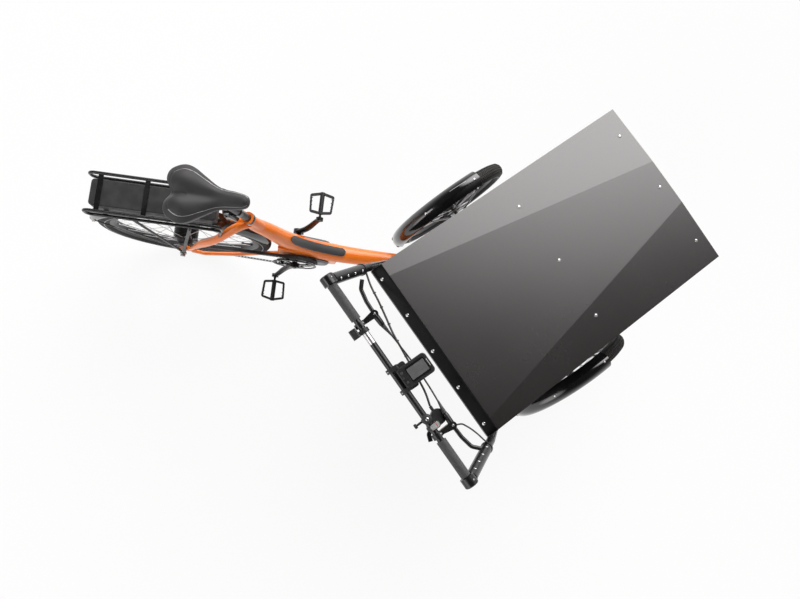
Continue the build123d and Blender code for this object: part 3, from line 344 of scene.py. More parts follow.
def asColor(value):
    return value if isinstance(value, tuple) else gray(value)


# Plain finishes are a cloudy film between two colours, a roughness that follows the film, and a relief
# whose layers are a weight, a pattern and its settings. "shader" holds what is the same all over.
coatSkin = {"film": ("noise", 22, 4), "relief": [(1, "noise", 1100, 2), (0.6, "noise", 240, 2)],
            "strength": 0.22, "depth": 0.0003, "shader": {"ior": 1.5}}
mouldedSkin = {"film": ("noise", 30, 4), "relief": [(1, "cells", 1500), (0.7, "noise", 700, 2)],
               "strength": 0.25, "depth": 0.0002, "shader": {"ior": 1.47}}
rubberSkin = {"film": ("noise", 26, 4), "relief": [(1, "cells", 800), (0.5, "noise", 1600, 1)],
              "strength": 0.3, "depth": 0.0003, "shader": {"sheen": 0.25, "sheenRough": 0.6}}
glassSkin = {"film": ("noise", 40, 3), "relief": [(1, "noise", 300, 1)], "strength": 0.02, "depth": 0.0002,
             "rough": (0.18, 0.26), "shader": {"coat": 1.0, "coatRough": 0.03, "ior": 1.5}}
plainFinishes = {
    "powderCoat": {**coatSkin, "colors": (0.007, 0.0119), "rough": (0.19, 0.32)},
    "chassisCoat": {**coatSkin, "colors": (0.014, 0.0238), "rough": (0.37, 0.50)},
    "moulded": {**mouldedSkin, "colors": (0.018, 0.027), "rough": (0.48, 0.63)},
    "mouldedDark": {**mouldedSkin, "colors": (0.010, 0.015), "rough": (0.41, 0.56)},
    "batteryCase": {**mouldedSkin, "colors": (0.024, 0.036), "rough": (0.43, 0.58)},
    "whiteMark": {**mouldedSkin, "colors": (0.45, 0.675), "rough": (0.33, 0.48)},
    "padRubber": {**rubberSkin, "colors": (0.020, 0.027), "rough": (0.58, 0.72)},
    "keyRubber": {**rubberSkin, "colors": (0.022, 0.0297), "rough": (0.52, 0.66)},
    "screenGlass": {**glassSkin, "colors": (0.115, 0.14375)},
    "blackGlass": {**glassSkin, "colors": (0.006, 0.0075)},
    "orangePaint": {
        "film": ("noise", 7, 2), "clouds": (0.35, 0.65),
        "colors": ((0.92, 0.215, 0.010), (0.84, 0.175, 0.008)),
        "relief": [(1, "noise", 260, 1)], "strength": 0.06, "depth": 0.0004,
        "shader": {"rough": 0.42, "coat": 0.55, "coatRough": 0.07, "ior": 1.45}},
    "glossShell": {
        "film": ("noise", 14, 4), "colors": (0.006, 0.014), "rough": (0.10, 0.2),
        "relief": [(1, "noise", 130, 2)], "strength": 0.04, "depth": 0.0004,
        "shader": {"coat": 0.8, "coatRough": 0.04, "ior": 1.5}},
    "stripPanel": {
        "film": ("noise", 16, 4), "colors": (0.0035, 0.0060), "rough": (0.22, 0.30),
        "relief": [(1, "noise", 60, 1)], "strength": 0.01, "depth": 0.0003,
        "shader": {"specular": 0.14, "ior": 1.45}},
    "boxPanel": {
        "film": ("noise", 9, 5), "clouds": (0.4, 0.65), "colors": (0.016, 0.026), "rough": (0.34, 0.48),
        "relief": [(0.8, "cells", 620), (0.4, "noise", 300, 2)], "strength": 0.16, "depth": 0.0003,
        "shader": {"ior": 1.5}},
    "saddleCover": {
        "film": ("noise", 12, 4), "clouds": (0.35, 0.7), "colors": (0.021, 0.030), "rough": (0.50, 0.62),
        "relief": [(0.7, "cells", 680), (0.4, "noise", 1500, 2)], "strength": 0.35, "depth": 0.0003,
        "shader": {"sheen": 0.15, "sheenRough": 0.5, "ior": 1.45}},
    "cableSheath": {
        "film": ("noise", 60, 3), "colors": (0.010, 0.018), "rough": (0.28, 0.4),
        "relief": [(1, "noise", 900, 2)], "strength": 0.15, "depth": 0.0002, "shader": {"ior": 1.48}},
    "reflector": {
        "film": ("cells", 420), "clouds": (0.1, 0.6),
        "colors": ((0.42, 0.028, 0.010), (0.189, 0.0126, 0.0045)),
        "rough": (0.12, 0.3), "roughOver": (0.1, 0.6), "relief": [(1, "cells", 420)], "strength": 0.7,
        "depth": 0.0008, "shader": {"coat": 1.0, "coatRough": 0.03, "ior": 1.55}},
}

metals = {  # colour, roughness and scale of the grain
    "castAlloy": (0.20, 0.40, 260), "brightSteel": (0.72, 0.20, 600), "plainSteel": (0.42, 0.34, 600),
    "chainSteel": (0.16, 0.38, 700), "pipingSilver": (0.42, 0.45, 900), "strapSteel": (0.07, 0.42, 400),
}


def makePlain(name, look):
    plain = Finish(name, **look["shader"])
    film = plain.layer(1, *look["film"])
    plain.set("color", plain.tone(film, look.get("clouds", (0.4, 0.7)), look["colors"]))
    if "rough" in look:
        plain.set("rough", plain.span(film, *look.get("roughOver", (0.3, 0.7)), *look["rough"]))
    layers = [plain.layer(*layer) for layer in look["relief"]]
    plain.bump(sum(layers[1:], layers[0]), look["strength"], look["depth"])
    return plain.material


def makeMetal(name, shade, rough, grain):
    metal = Finish(name, metal=1.0)
    grains = metal.noise(grain, 4, 0.6)
    film = metal.noise(40, 3)
    metal.set("color", metal.tone(film, (0.35, 0.7), (shade, 0.78 * shade)))
    metal.set("rough", metal.span(grains * 0.5 + film * 0.5, 0.3, 0.7, rough - 0.06, rough + 0.1))
    metal.bump(grains, 0.12, 0.0002)
    return metal.material


def makeLidPanel():
    # a glossy sheet with fine scratches and a little dust
    look = {"colors": ((0.0125, 0.0105, 0.0102), (0.017, 0.0150, 0.0147)), "rough": (0.23, 0.28),
            "drift": 2.2, "scratch": 70, "peel": 40}
    panel = Finish("glossPanel", ior=1.52, coat=1.0, coatRough=0.20)
    drift = panel.noise(look["drift"], 3)
    scratches = panel.noise(look["scratch"], 5, 0.7)
    panel.set("color", panel.tone(drift, (0.4, 0.7), look["colors"]))
    panel.set("rough", panel.span(drift * 0.5 + scratches * 0.5, 0.3, 0.7, *look["rough"]))
    panel.bump(panel.noise(look["peel"], 1), 0.006, 0.0003)
    return panel.material


barPlace = {"y": 764, "z": 1111}
barCentre = Vector((0, barPlace["y"], barPlace["z"]))


def makeGripRubber():
    # ribs in a fine diamond pattern round the bar
    look = {"colors": (0.036, 0.050), "rough": (0.6, 0.72), "pitch": 0.0035, "threads": 24}
    rubber = Finish("gripRubber", sheen=0.2, sheenRough=0.6)
    length, height, depth = (rubber.along(frontUnit @ barCentre, way) for way in (leftWay, upWay, rearWay))
    threads = rubber.calc("SINE", rubber.calc("ARCTAN2", height, depth) * look["threads"])
    film = rubber.noise(24, 4)
    rubber.set("color", rubber.tone(film, (0.4, 0.7), look["colors"]))
    rubber.set("rough", rubber.span(film, 0.3, 0.7, *look["rough"]))
    diamonds = rubber.waves(length, look["pitch"]) * threads
    rubber.bump(diamonds * 0.5 + rubber.noise(900, 2) * 0.5, 0.35, 0.0006)
    return rubber.material


def makeBarTube():
    # satin black tube with a bare section that carries a scale of fine lines
    look = {"bare": (134, 183), "step": 0.005, "lineWidth": 0.0007, "black": 0.008, "silver": 0.62}
    tube = Finish("barTube", ior=1.5)
    length = tube.along(pivot, leftWay)
    bare = (length > look["bare"][0] * mm) * (length < look["bare"][1] * mm)
    marks = (tube.calc("MODULO", length + 1, look["step"]) < look["lineWidth"]) * bare
    film = tube.noise(45, 4)
    tube.set("color", tube.blend(bare - marks, gray(look["black"]), gray(look["silver"])))
    tube.set("metal", (bare - marks) * 0.95)
    tube.set("rough", 0.20 + film * 0.14 + bare * 0.06)
    tube.bump(tube.noise(700, 2), 0.08, 0.0002)
    return tube.material


def makeGearWindow():
    # pale dial under a clear cap, with a ruled scale and one red line
    look = {"centre": (-172, 754, 1133), "pitch": 0.0042, "line": 0.0007, "scaleFrom": 0.001,
            "pointer": 0.004, "pointerHalf": 0.0009, "dial": (0.42, 0.30), "ink": 0.05,
            "red": (0.45, 0.05, 0.03)}
    window = Finish("gearWindow", coat=1.0, coatRough=0.05, ior=1.5)
    length, depth = (window.along(frontUnit @ Vector(look["centre"]), way) for way in (leftWay, rearWay))
    ruled = window.calc("MODULO", length + 1, look["pitch"]) < look["line"]
    marks = ruled * (depth > look["scaleFrom"])
    pointer = window.calc("ABSOLUTE", depth + look["pointer"]) < look["pointerHalf"]
    film = window.noise(60, 3)
    dial = window.tone(film, (0.4, 0.7), look["dial"])
    window.set("color", window.blend(pointer, window.blend(marks, dial, gray(look["ink"])), look["red"]))
    window.set("rough", window.span(film, 0.3, 0.7, 0.12, 0.22))
    return window.material


# centre, bead and radii in millimetres of the unit; the finishes' radii are in metres
frontWheel = {"unit": frontUnit, "axis": leftWay, "bead": 203, "radius": 263, "width": 58,
              "metal": {"hub": 0.0275, "rim": 0.186, "disc": 0.0815, "discX": 0.034, "discHole": 0.062}}
wheels = {
    "front_left": {**frontWheel, "centre": Vector((433, 68, 263))},
    "front_right": {**frontWheel, "centre": Vector((-433, 68, 263))},
    "rear": {"unit": rearUnit, "axis": Vector((1, 0, 0)), "bead": 279.5, "radius": 335, "width": 50,
             "centre": Vector((0, 1388, 335)),
             "metal": {"hub": 0.0505, "rim": 0.262, "disc": 0.046, "discX": 0.052, "discHole": 0.030}},
}


def makeTyreRubber(name, wheel):
    # the sidewall has fine ribs, a pale reflective line and road dust near the tread
    look = {"line": 0.024, "lineWidth": 0.0032, "shoulder": 0.013, "ribs": 0.0022, "clean": 0.014,
            "dust": (0.050, 0.047, 0.043), "pale": 0.34}
    rubber = Finish(name)
    out = rubber.radial(wheel["unit"] @ wheel["centre"], wheel["axis"])
    film = rubber.noise(18, 5)
    outer = wheel["radius"] * mm
    lineFrom = wheel["bead"] * mm + look["line"]
    line = (out > lineFrom) * (out < lineFrom + look["lineWidth"])
    dusty = rubber.clamp(rubber.span(out, lineFrom, outer, 0.1, 0.75) * film * 1.4)
    worn = rubber.blend(dusty, gray(look["clean"]), look["dust"])
    rubber.set("color", rubber.blend(line, worn, gray(look["pale"])))
    rubber.set("rough", 0.82 - line * 0.4 - film * 0.1)
    side = out < outer - look["shoulder"]
    rubber.bump(rubber.waves(out, look["ribs"]) * side * 0.5 + rubber.noise(500, 3) * 0.8, 0.4, 0.0004)
    return rubber.material


def makeWheelMetal(name, wheel):
    # black rim and hub, bright spokes between them, and bare steel on the disc or sprocket
    look = {"black": 0.016, "bright": 0.52, "rings": 0.0016}
    radii = wheel["metal"]
    metal = Finish(name)
    centre = wheel["unit"] @ wheel["centre"]
    out = metal.radial(centre, wheel["axis"])
    across = metal.calc("ABSOLUTE", metal.along(centre, wheel["axis"]))
    rim = out > radii["rim"]
    disc = (out < radii["disc"]) * (across > radii["discX"]) * (out > radii["discHole"])
    spokes = (out > radii["hub"]) * (out < radii["rim"])
    bright = metal.clamp(spokes + disc)
    metal.set("color", metal.blend(bright, gray(look["black"]), gray(look["bright"])))
    metal.set("metal", bright * 0.92)
    metal.set("rough", 0.36 + metal.noise(35, 3) * 0.12 - bright * 0.1 - rim * 0.04)
    metal.bump(metal.noise(420, 4) * 0.4 + metal.waves(out, look["rings"]) * disc * 0.3, 0.15, 0.0002)
    return metal.material


finishes = {name: makePlain(name, look) for name, look in plainFinishes.items()}
finishes.update({name: makeMetal(name, *look) for name, look in metals.items()})
finishes.update({"lidPanel": makeLidPanel(), "gripRubber": makeGripRubber(), "barTube": makeBarTube(),
                 "gearWindow": makeGearWindow()})
nodeFinishes = {
    "orangePaint": ["main_frame", "seat_stays", "chain_stays"], "castAlloy": ["motor"],
    "brightSteel": ["rear_axle"], "plainSteel": ["saddle_rails"], "chainSteel": ["chain"],
    "powderCoat": ["seatpost", "rear_rack", "cranks", "chainring", "handlebar_arms", "brake_levers",
                   "brake_calipers"],
    "moulded": ["chain_guard", "left_pedal", "right_pedal", "bell"],
    "mouldedDark": ["display", "shifter", "assist_switch"], "padRubber": ["beam_pad"],
    "batteryCase": ["battery"],
    "glossShell": ["rear_mudguard", "front_left_mudguard", "front_right_mudguard"],
    "reflector": ["rear_reflector", "front_reflectors"], "chassisCoat": ["front_chassis"],
    "boxPanel": ["box_floor", "box_side_left", "box_side_right", "box_front", "box_rear"],
    "stripPanel": ["hinge_strip"], "lidPanel": ["lid"], "barTube": ["handlebar"], "gripRubber": ["grips"],
    "cableSheath": ["cables"], "saddleCover": ["saddle"],
}
for key, wheel in wheels.items():
    finishes[key + "Metal"] = makeWheelMetal(key + "Metal", wheel)
    finishes[key + "Rubber"] = makeTyreRubber(key + "Rubber", wheel)
    nodeFinishes[key + "Metal"] = [key + "_wheel"]
    nodeFinishes[key + "Rubber"] = [key + "_tyre"]
for finishName, nodeNames in nodeFinishes.items():
    for name in nodeNames:
        nodes[name].data.materials.clear()
        nodes[name].data.materials.append(finishes[finishName])
print("finishes made for", sum(len(names) for names in nodeFinishes.values()), "nodes")

# rows of blocks across the tread, and the size and lean of a block
tread = {
    "front": {"rows": (-19.5, -10, 0, 10, 19.5), "count": 156, "width": 7.4, "length": 6.2, "height": 2.4,
              "lean": 10},
    "rear": {"rows": (-15, -7.5, 0, 7.5, 15), "count": 190, "width": 5.2, "length": 6.8, "height": 1.8,
             "lean": 14},
    "steps": 128, "sides": 36, "topShare": 0.8, "sink": 1.4, "inset": 0.15, "beadGap": 1, "sideGap": 0.4,
}


def makeCasing(wheel, inner, outer):
    # an oval spun round the axle
    x, y, z = wheel["centre"]
    middle = (x, y, z + (outer + inner) / 2)
    bpy.ops.object.select_all(action="DESELECT")
    bpy.ops.mesh.primitive_circle_add(vertices=tread["sides"], radius=1, location=middle,
                                      rotation=(math.pi / 2, 0, 0))
    casing = bpy.context.object
    bpy.ops.object.transform_apply(location=True, rotation=True, scale=True)
    oval = (wheel["width"] / 2 - tread["sideGap"], 1, (outer - inner) / 2)
    editMesh(
        casing,
        ("VERT", everything, bpy.ops.transform.resize, {"value": oval, "center_override": middle}),
        ("VERT", everything, bpy.ops.mesh.spin,
         {"steps": tread["steps"], "angle": 2 * math.pi, "center": (x, y, z), "axis": (1, 0, 0)}),
        ("VERT", everything, bpy.ops.mesh.remove_doubles, {"threshold": 0.01}),
        ("FACE", everything, bpy.ops.mesh.normals_make_consistent, {"inside": False}),
    )
    return casing


def makeTreadBlock(blocks):
    bpy.ops.object.select_all(action="DESELECT")
    bpy.ops.mesh.primitive_cube_add(size=1)
    block = bpy.context.object
    block.scale = (blocks["width"], blocks["length"], blocks["height"] + tread["sink"])
    bpy.ops.object.transform_apply(location=False, rotation=False, scale=True)
    editMesh(
        block,
        ("FACE", topFace, bpy.ops.transform.resize, {"value": (tread["topShare"], tread["topShare"], 1)}),
        ("FACE", underFace, bpy.ops.mesh.delete, {"type": "FACE"}),
    )
    return block


def makeTyre(key, wheel):
    blocks = tread["rear" if key == "rear" else "front"]
    outer = wheel["radius"] - tread["inset"] - blocks["height"]
    inner = wheel["bead"] + tread["beadGap"]
    halfWidth = wheel["width"] / 2
    halfHeight = (outer - inner) / 2
    casing = makeCasing(wheel, inner, outer)
    rows = []
    for index, offset in enumerate(blocks["rows"]):
        # each row sits on the casing's curve, and every second one is staggered and leans the other way
        drop = halfHeight * (1 - math.sqrt(1 - (offset / halfWidth) ** 2))
        tilt = math.atan2(offset * halfHeight, halfWidth * math.sqrt(halfWidth ** 2 - offset ** 2))
        lift = (blocks["height"] - tread["sink"]) / 2 * math.cos(tilt)
        turn = math.radians(blocks["lean"] * (1 if index % 2 else -1))
        stagger = math.pi / blocks["count"] * (index % 2)
        rows.append(placed(
            makeTreadBlock(blocks),
            Matrix.Translation(wheel["centre"]) @ Matrix.Rotation(stagger, 4, "X")
            @ Matrix.Translation((offset, 0, outer - drop + lift))
            @ Matrix.Rotation(tilt, 4, "Y") @ Matrix.Rotation(turn, 4, "Z")))
    ringOfBlocks = ringArray(joinPieces(rows), wheel["centre"], (1, 0, 0), blocks["count"])
    tyre = finishPiece([casing, ringOfBlocks], key + "TyreTread", key + "_wheel", key + "Rubber", 40)
    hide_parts(key + "_tyre")


for key, wheel in wheels.items():
    makeTyre(key, wheel)
print("tyres made")

# the seat runs from nose to back, and its outline gives half widths from the nose on
saddleShape = {
    "nose": 1090, "back": 1358, "top": 1011.5, "points": 80, "spine": (24, 70),
    "outline": [(0, 0), (20, 10), (29, 46), (37, 98), (65, 146), (91, 188), (95, 222), (74, 258), (40, 267),
                (0, 250)],
    "lobe": (47, 1308), "lobeSpread": (36, 50), "lobeHeight": 11,
    "channel": 11, "channelWidth": 15, "channelRun": (70, 90), "dip": 6, "dipPlace": 100, "dipSpread": 50,
    "edgeDrop": 19, "edgeCurve": 3.2, "noseSkirt": 34, "lobeSkirt": 52, "widening": (90, 190), "tuck": 0.10,
    "seam": 0.80, "seamHalf": 0.025, "seamDepth": 1.4,
    "hem": ((0.95, 0.5), (0.72, 5), (0.0, 8)), "hemDrop": 34,
    "pipes": ((0.80, 3, 31, 0.9), (1.72, 15, 34, 0.6)), "pipeSink": 0.9,
}


def saddleOutline():
    # the outline and its mirror, read as one smooth closed line round the seat
    shape = saddleShape
    loop = [Vector((x, shape["nose"] + y, 0)) for x, y in shape["outline"]]
    loop += [Vector((-point.x, point.y, 0)) for point in reversed(loop[1:-1])]
    line = []
    for index in range(shape["points"]):
        at = index / shape["points"] * len(loop)
        first = int(at)
        share = at - first
        a, b, c, d = (loop[(first + step) % len(loop)] for step in (-1, 0, 1, 2))
        line.append(0.5 * ((2 * b) + (c - a) * share + (2 * a - 5 * b + 4 * c - d) * share ** 2
                           + (3 * b - 3 * c + d - a) * share ** 3))
    return line


def easedStep(value, low, high):
    share = min(max((value - low) / (high - low), 0), 1)
    return share * share * (3 - 2 * share)


def saddleSpine(edge, height=0):
    shape = saddleShape
    front, rear = shape["nose"] + shape["spine"][0], shape["back"] - shape["spine"][1]
    return Vector((0, min(max(edge.y, front), rear), height))


def saddlePoint(edge, reach):
    # a point of the cover: reach runs from 0 at the spine to 1 at the rim, then to 2 down the skirt
    shape = saddleShape
    flat = min(reach, 1.0)
    point = saddleSpine(edge).lerp(edge, flat)
    lobeX, lobeY = shape["lobe"]
    spreadX, spreadY = shape["lobeSpread"]
    lobe = math.exp(-(((abs(point.x) - lobeX) / spreadX) ** 2) - ((point.y - lobeY) / spreadY) ** 2)
    run = easedStep(point.y, shape["nose"] + shape["channelRun"][0], shape["back"] - shape["channelRun"][1])
    groove = math.exp(-((point.x / shape["channelWidth"]) ** 2)) * run
    dip = math.exp(-(((point.y - shape["nose"] - shape["dipPlace"]) / shape["dipSpread"]) ** 2))
    wide = easedStep(edge.y, *(shape["nose"] + y for y in shape["widening"]))
    point.z = (shape["top"] - shape["lobeHeight"] * (1 - lobe) - shape["channel"] * groove
               - shape["dip"] * dip - shape["edgeDrop"] * flat ** shape["edgeCurve"])
    if reach > 1:
        down = reach - 1
        skirt = shape["noseSkirt"] + (shape["lobeSkirt"] - shape["noseSkirt"]) * wide
        point.z -= (skirt - shape["edgeDrop"]) * math.sin(down * math.pi / 2) ** 0.9
        point = point.lerp(saddleSpine(edge, point.z), shape["tuck"] * down * down)
    return point


def pipeAlong(points, radius):
    curve = bpy.data.curves.new("pipe", "CURVE")
    curve.dimensions = "3D"
    curve.bevel_depth = radius
    curve.bevel_resolution = 2
    curve.use_fill_caps = True
    line = curve.splines.new("NURBS")
    line.points.add(len(points) - 1)
    for place, point in zip(line.points, points):
        place.co = (*point, 1)
    line.order_u = 3
    line.use_endpoint_u = True
    pipe = bpy.data.objects.new("pipe", curve)
    bpy.context.collection.objects.link(pipe)
    selectOnly(pipe)
    bpy.ops.object.convert(target="MESH")
    return bpy.context.object


def makeSaddlePad(outline):
    shape = saddleShape
    seam, half = shape["seam"], shape["seamHalf"]
    reaches = [0.0, 0.16, 0.32, 0.46, 0.58, 0.68, seam - half, seam, seam + half, 0.88, 0.95, 1.0, 1.12, 1.3,
               1.55, 1.8, 2.0]
    mesh = bmesh.new()
    rings = [[mesh.verts.new(saddlePoint(edge, reach)) for edge in outline] for reach in reaches]
    for vertex in rings[reaches.index(seam)]:
        vertex.co.z -= shape["seamDepth"]
    # the cover turns in under the shell
    rim = rings[-1]
    for share, lift in shape["hem"]:
        ring = []
        for edge, vertex in zip(outline, rim):
            spot = saddleSpine(edge, shape["top"] - shape["hemDrop"]).lerp(vertex.co, share)
            ring.append(mesh.verts.new((spot.x, spot.y, spot.z + lift * (1.2 - share))))
        rings.append(ring)
    count = len(outline)
    for first, second in zip(rings, rings[1:]):
        for index in range(count):
            after = (index + 1) % count
            mesh.faces.new((first[index], first[after], second[after], second[index]))
    bmesh.ops.remove_doubles(mesh, verts=mesh.verts[:], dist=0.05)
    bmesh.ops.recalc_face_normals(mesh, faces=mesh.faces[:])
    data = bpy.data.meshes.new("saddlePad")
    mesh.to_mesh(data)
    mesh.free()
    pad = bpy.data.objects.new("saddlePad", data)
    bpy.context.collection.objects.link(pad)
    return applyModifier(pad, "SUBSURF", levels=2, render_levels=2)


def makeSaddle():
    outline = saddleOutline()
    pad = finishPiece([makeSaddlePad(outline)], "saddlePad", "frame", "saddleCover", 0)
    pad.data.shade_smooth()
    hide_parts("saddle")
    # piping in the seam from each lobe to the nose, and a thin welt low on the skirt
    sink = Vector((0, 0, -saddleShape["pipeSink"]))
    pipes = []
    for reach, first, last, radius in saddleShape["pipes"]:
        for side in (1, -1):
            edges = [outline[side * index % len(outline)] for index in range(first, last + 1)]
            pipes.append(pipeAlong([saddlePoint(edge, reach) + sink for edge in edges], radius))
    finishPiece(pipes, "saddlePiping", "frame", "pipingSilver")


makeSaddle()
print("saddle made")

lidShape = {
    "frontY": -509, "creaseY": 567, "frontZ": 761, "creaseZ": 893, "rise": 14, "half": 336,
    "creaseFront": 92, "creaseRear": 289,
    "bolts": [(234, 36), (-1, 31), (-232, 38), (238, -462), (0, -470), (-238, -466)],
    "head": (6.2, 3.2), "sink": 0.2,
}
stripShape = {"bolts": [293, 146.5, 0, -146.5, -293], "y": 591, "z": 881.8, "way": (0, 18 / 38, 1)}
guardBolts = {"head": (5, 2.8), "crown": 290.5, "sink": 0.6, "y": (13, 239)}


def lidHeight(x, y):
    # top of the lid: the lower of its middle facet and its side facets
    shape = lidShape
    length = shape["creaseY"] - shape["frontY"]
    fall = shape["rise"] / (shape["half"] - shape["creaseFront"])
    climb = shape["creaseZ"] - shape["frontZ"] - shape["rise"]
    middle = shape["frontZ"] + shape["rise"] + climb / length * (y - shape["frontY"])
    slope = (climb + fall * (shape["creaseRear"] - shape["creaseFront"])) / length
    side = shape["frontZ"] + fall * (shape["half"] - abs(x)) + slope * (y - shape["frontY"])
    return min(middle, side)


def lidNormal(x, y, step=4):
    return Vector((lidHeight(x - step, y) - lidHeight(x + step, y),
                   lidHeight(x, y - step) - lidHeight(x, y + step), 2 * step)).normalized()


def makePanelBolts():
    places = [facing((x, y, lidHeight(x, y) - lidShape["sink"]), lidNormal(x, y))
              for x, y in lidShape["bolts"]]
    finishPiece([placed(boltHead(*lidShape["head"]), *places)], "lidBolts", "lid", "brightSteel")
    places = [facing((x, stripShape["y"], stripShape["z"]), stripShape["way"]) for x in stripShape["bolts"]]
    finishPiece([placed(boltHead(*lidShape["head"]), *places)], "stripBolts", "front_unit", "brightSteel")
    # two crown bolts on each front mudguard
    places = []
    for key in ("front_right", "front_left"):
        centre = wheels[key]["centre"]
        for y in guardBolts["y"]:
            angle = math.acos((y - centre.y) / guardBolts["crown"])
            way = Vector((0, math.cos(angle), math.sin(angle)))
            places.append(facing(centre + way * (guardBolts["crown"] - guardBolts["sink"]), way))
    finishPiece([placed(boltHead(*guardBolts["head"]), *places)], "guardBolts", "front_unit", "brightSteel")


makePanelBolts()
print("bolts made")


def makeDisplay():
    look = {"offset": (-5, -57, 22), "way": (0, 0.12, 1), "top": 13, "screenY": -7,
            "bezel": (49.4, 65.4, 0.7, 4), "bezelSink": 1.02, "screen": (37, 60, 0.25, 1.5, 0.1),
            "screenSink": 0.34, "sink": 0.1,
            "slot": (25, 1.5, 0.4, 0.6, 0.15),
            "slotY": -44.5, "keys": [(17, 40, 4.6), (1, 43.5, 3.0), (-15, 40, 3.8)],
            "keyShape": [(1, 0), (1, 0.9), (0.85, 1.4), (0.5, 1.5), (0.3, 1.2)]}
    across, way = Vector((1, 0, 0)), Vector(look["way"]).normalized()
    face = Matrix.Translation(barCentre + Vector(look["offset"])) @ axesTurn(across, way.cross(across), way)

    def onFace(piece, x, y, sink):
        return placed(piece, face @ Matrix.Translation((x, y, look["top"] - sink)))

    finishPiece([onFace(plate(*look["bezel"]), 0, look["screenY"], look["bezelSink"])], "displayBezel",
                "front_unit", "blackGlass")
    finishPiece([onFace(plate(*look["screen"]), 0, look["screenY"], look["screenSink"])], "displayScreen",
                "front_unit", "screenGlass")
    finishPiece([onFace(plate(*look["slot"]), 0, look["slotY"], look["sink"])], "displaySlot", "front_unit",
                "whiteMark")
    keys = [onFace(turned([(out * radius, up) for out, up in look["keyShape"]]), x, y, look["sink"])
            for x, y, radius in look["keys"]]
    finishPiece(keys, "displayKeys", "front_unit", "keyRubber")


def makeBarBolts():
    # a bolt's head, its places along the bar, its offset in y and z, and the way that it points and moves out
    look = [
        {"head": (4.2, 2.6), "x": (-205, 205), "at": (-56, 2.7), "way": (0, 0, 1), "out": 0},
        {"head": (3.4, 3), "x": (-202, 202), "at": (0, 0), "way": (0, -0.62, 0.78), "out": 16.8},
        {"head": (4.4, 2.4), "x": (-383, 383), "at": (0, 0), "way": (1, 0, 0), "out": 0},
        {"head": (3.4, 2.4), "x": (-368, 368), "at": (0, 0), "way": (0, -0.5, 0.87), "out": 22.8},
        {"head": (3, 2.4), "x": (-38, 37), "at": (0, 0), "way": (0, 0.8, 0.6), "out": 17.8},
    ]
    bolts = []
    for bolt in look:
        for x in bolt["x"]:
            way = Vector(bolt["way"])
            way.x = math.copysign(way.x, x)
            spot = barCentre + Vector((x, *bolt["at"])) + way * bolt["out"]
            bolts.append(placed(boltHead(*bolt["head"]), facing(spot, way)))
    finishPiece(bolts, "barBolts", "front_unit", "plainSteel")


def makeBarControls():
    # the pale plate along the switch block is a painted highlight, not a real stripe
    look = {"screw": [(5.2, 0), (5.0, 0.9), (3.9, 1.8), (2.2, 2.3), (0.6, 2.45)], "screwAt": (-142, 0, 27.9),
            "window": (17.5, 29, 1.6, 7, 0.8), "windowAt": (-172, -10, 13.5), "windowTilt": 0.15,
            "windowLift": 8.9, "paintedHighlight": (29, 1.2, 0.5, 0.5, 0.15), "paintedHighlightAt": (188, 18.5, 13.9),
            "button": [(4.2, 0), (4.2, 0.8), (3.5, 1.4), (1.5, 1.6)],
            "buttonsAt": ((181, 27, 13.9), (195, 27, 13.9), (188, 37, 13.9))}

    def onBar(point):
        return Matrix.Translation(barCentre + Vector(point))

    screw = placed(turned(look["screw"]), onBar(look["screwAt"]))
    finishPiece([screw], "bellScrew", "front_unit", "brightSteel")
    tilt = Matrix.Rotation(-math.atan(look["windowTilt"]), 4, "X")
    window = placed(plate(*look["window"]),
                    onBar(look["windowAt"]) @ tilt @ Matrix.Translation((0, 0, look["windowLift"])))
    finishPiece([window], "gearWindow", "front_unit", "gearWindow")
    # painted highlight: a pale plate in white finish along the switch block, standing in for a line of light
    # on it
    paintedHighlight = placed(plate(*look["paintedHighlight"]), onBar(look["paintedHighlightAt"]))
    finishPiece([paintedHighlight], "paintedHighlightStripe", "front_unit", "whiteMark")
    buttons = placed(turned(look["button"], 20), *(onBar(point) for point in look["buttonsAt"]))
    finishPiece([buttons], "switchButtons", "front_unit", "keyRubber")


def makeArmFittings():
    look = {"foot": (352, 604, 876), "head": (366, 758, 1102), "collarShares": (0.21, 0.96),
            "boltShares": (0.30, 0.50, 0.68, 0.86), "boltHead": (4.2, 2.4), "boltOut": 17.9,
            "boltWay": (-0.5, -0.5, 0.7), "collar": [(18.3, -5), (20.4, -3.6), (20.4, 3.6), (18.3, 5)]}
    bolts = []
    collars = []
    for side in (-1, 1):
        foot, head, way = onSide(side, look["foot"], look["head"], look["boltWay"])
        run = (head - foot).normalized()
        way = (way - way.dot(run) * run).normalized()
        bolts += [facing(foot.lerp(head, share) + way * look["boltOut"], way) for share in look["boltShares"]]
        collars += [facing(foot.lerp(head, share), run) for share in look["collarShares"]]
    finishPiece([placed(boltHead(*look["boltHead"]), *bolts)], "armBolts", "front_unit", "brightSteel")
    finishPiece([placed(turned(look["collar"], 40), *collars)], "armCollars", "front_unit", "powderCoat")


def makeLeverFittings():
    look = {"root": (203, 708, 1105), "bend": (158, 706, 1103), "tail": (117, 700, 1093), "overlap": 0.08,
            "cylinder": [(8.4, 0), (9.6, 2), (9.8, 8), (9.2, 30), (8.4, 38), (7.0, 41)],
            "boot": [(7.2, 0), (7.4, 3), (6.4, 5), (6.9, 8), (5.9, 10), (6.3, 13), (5.3, 15), (5.7, 18),
                     (4.7, 21), (4.3, 28), (3.6, 37), (3.1, 42)]}
    cylinders = []
    boots = []
    for side in (-1, 1):
        root, bend, tail = onSide(side, look["root"], look["bend"], look["tail"])
        cylinders.append(facing(root, bend - root))
        boots.append(facing(bend.lerp(root, look["overlap"]), tail - bend))
    finishPiece([placed(turned(look["cylinder"], 32), *cylinders)], "leverCylinders", "front_unit",
                "powderCoat")
    finishPiece([placed(turned(look["boot"]), *boots)], "hoseBoots", "front_unit", "keyRubber")


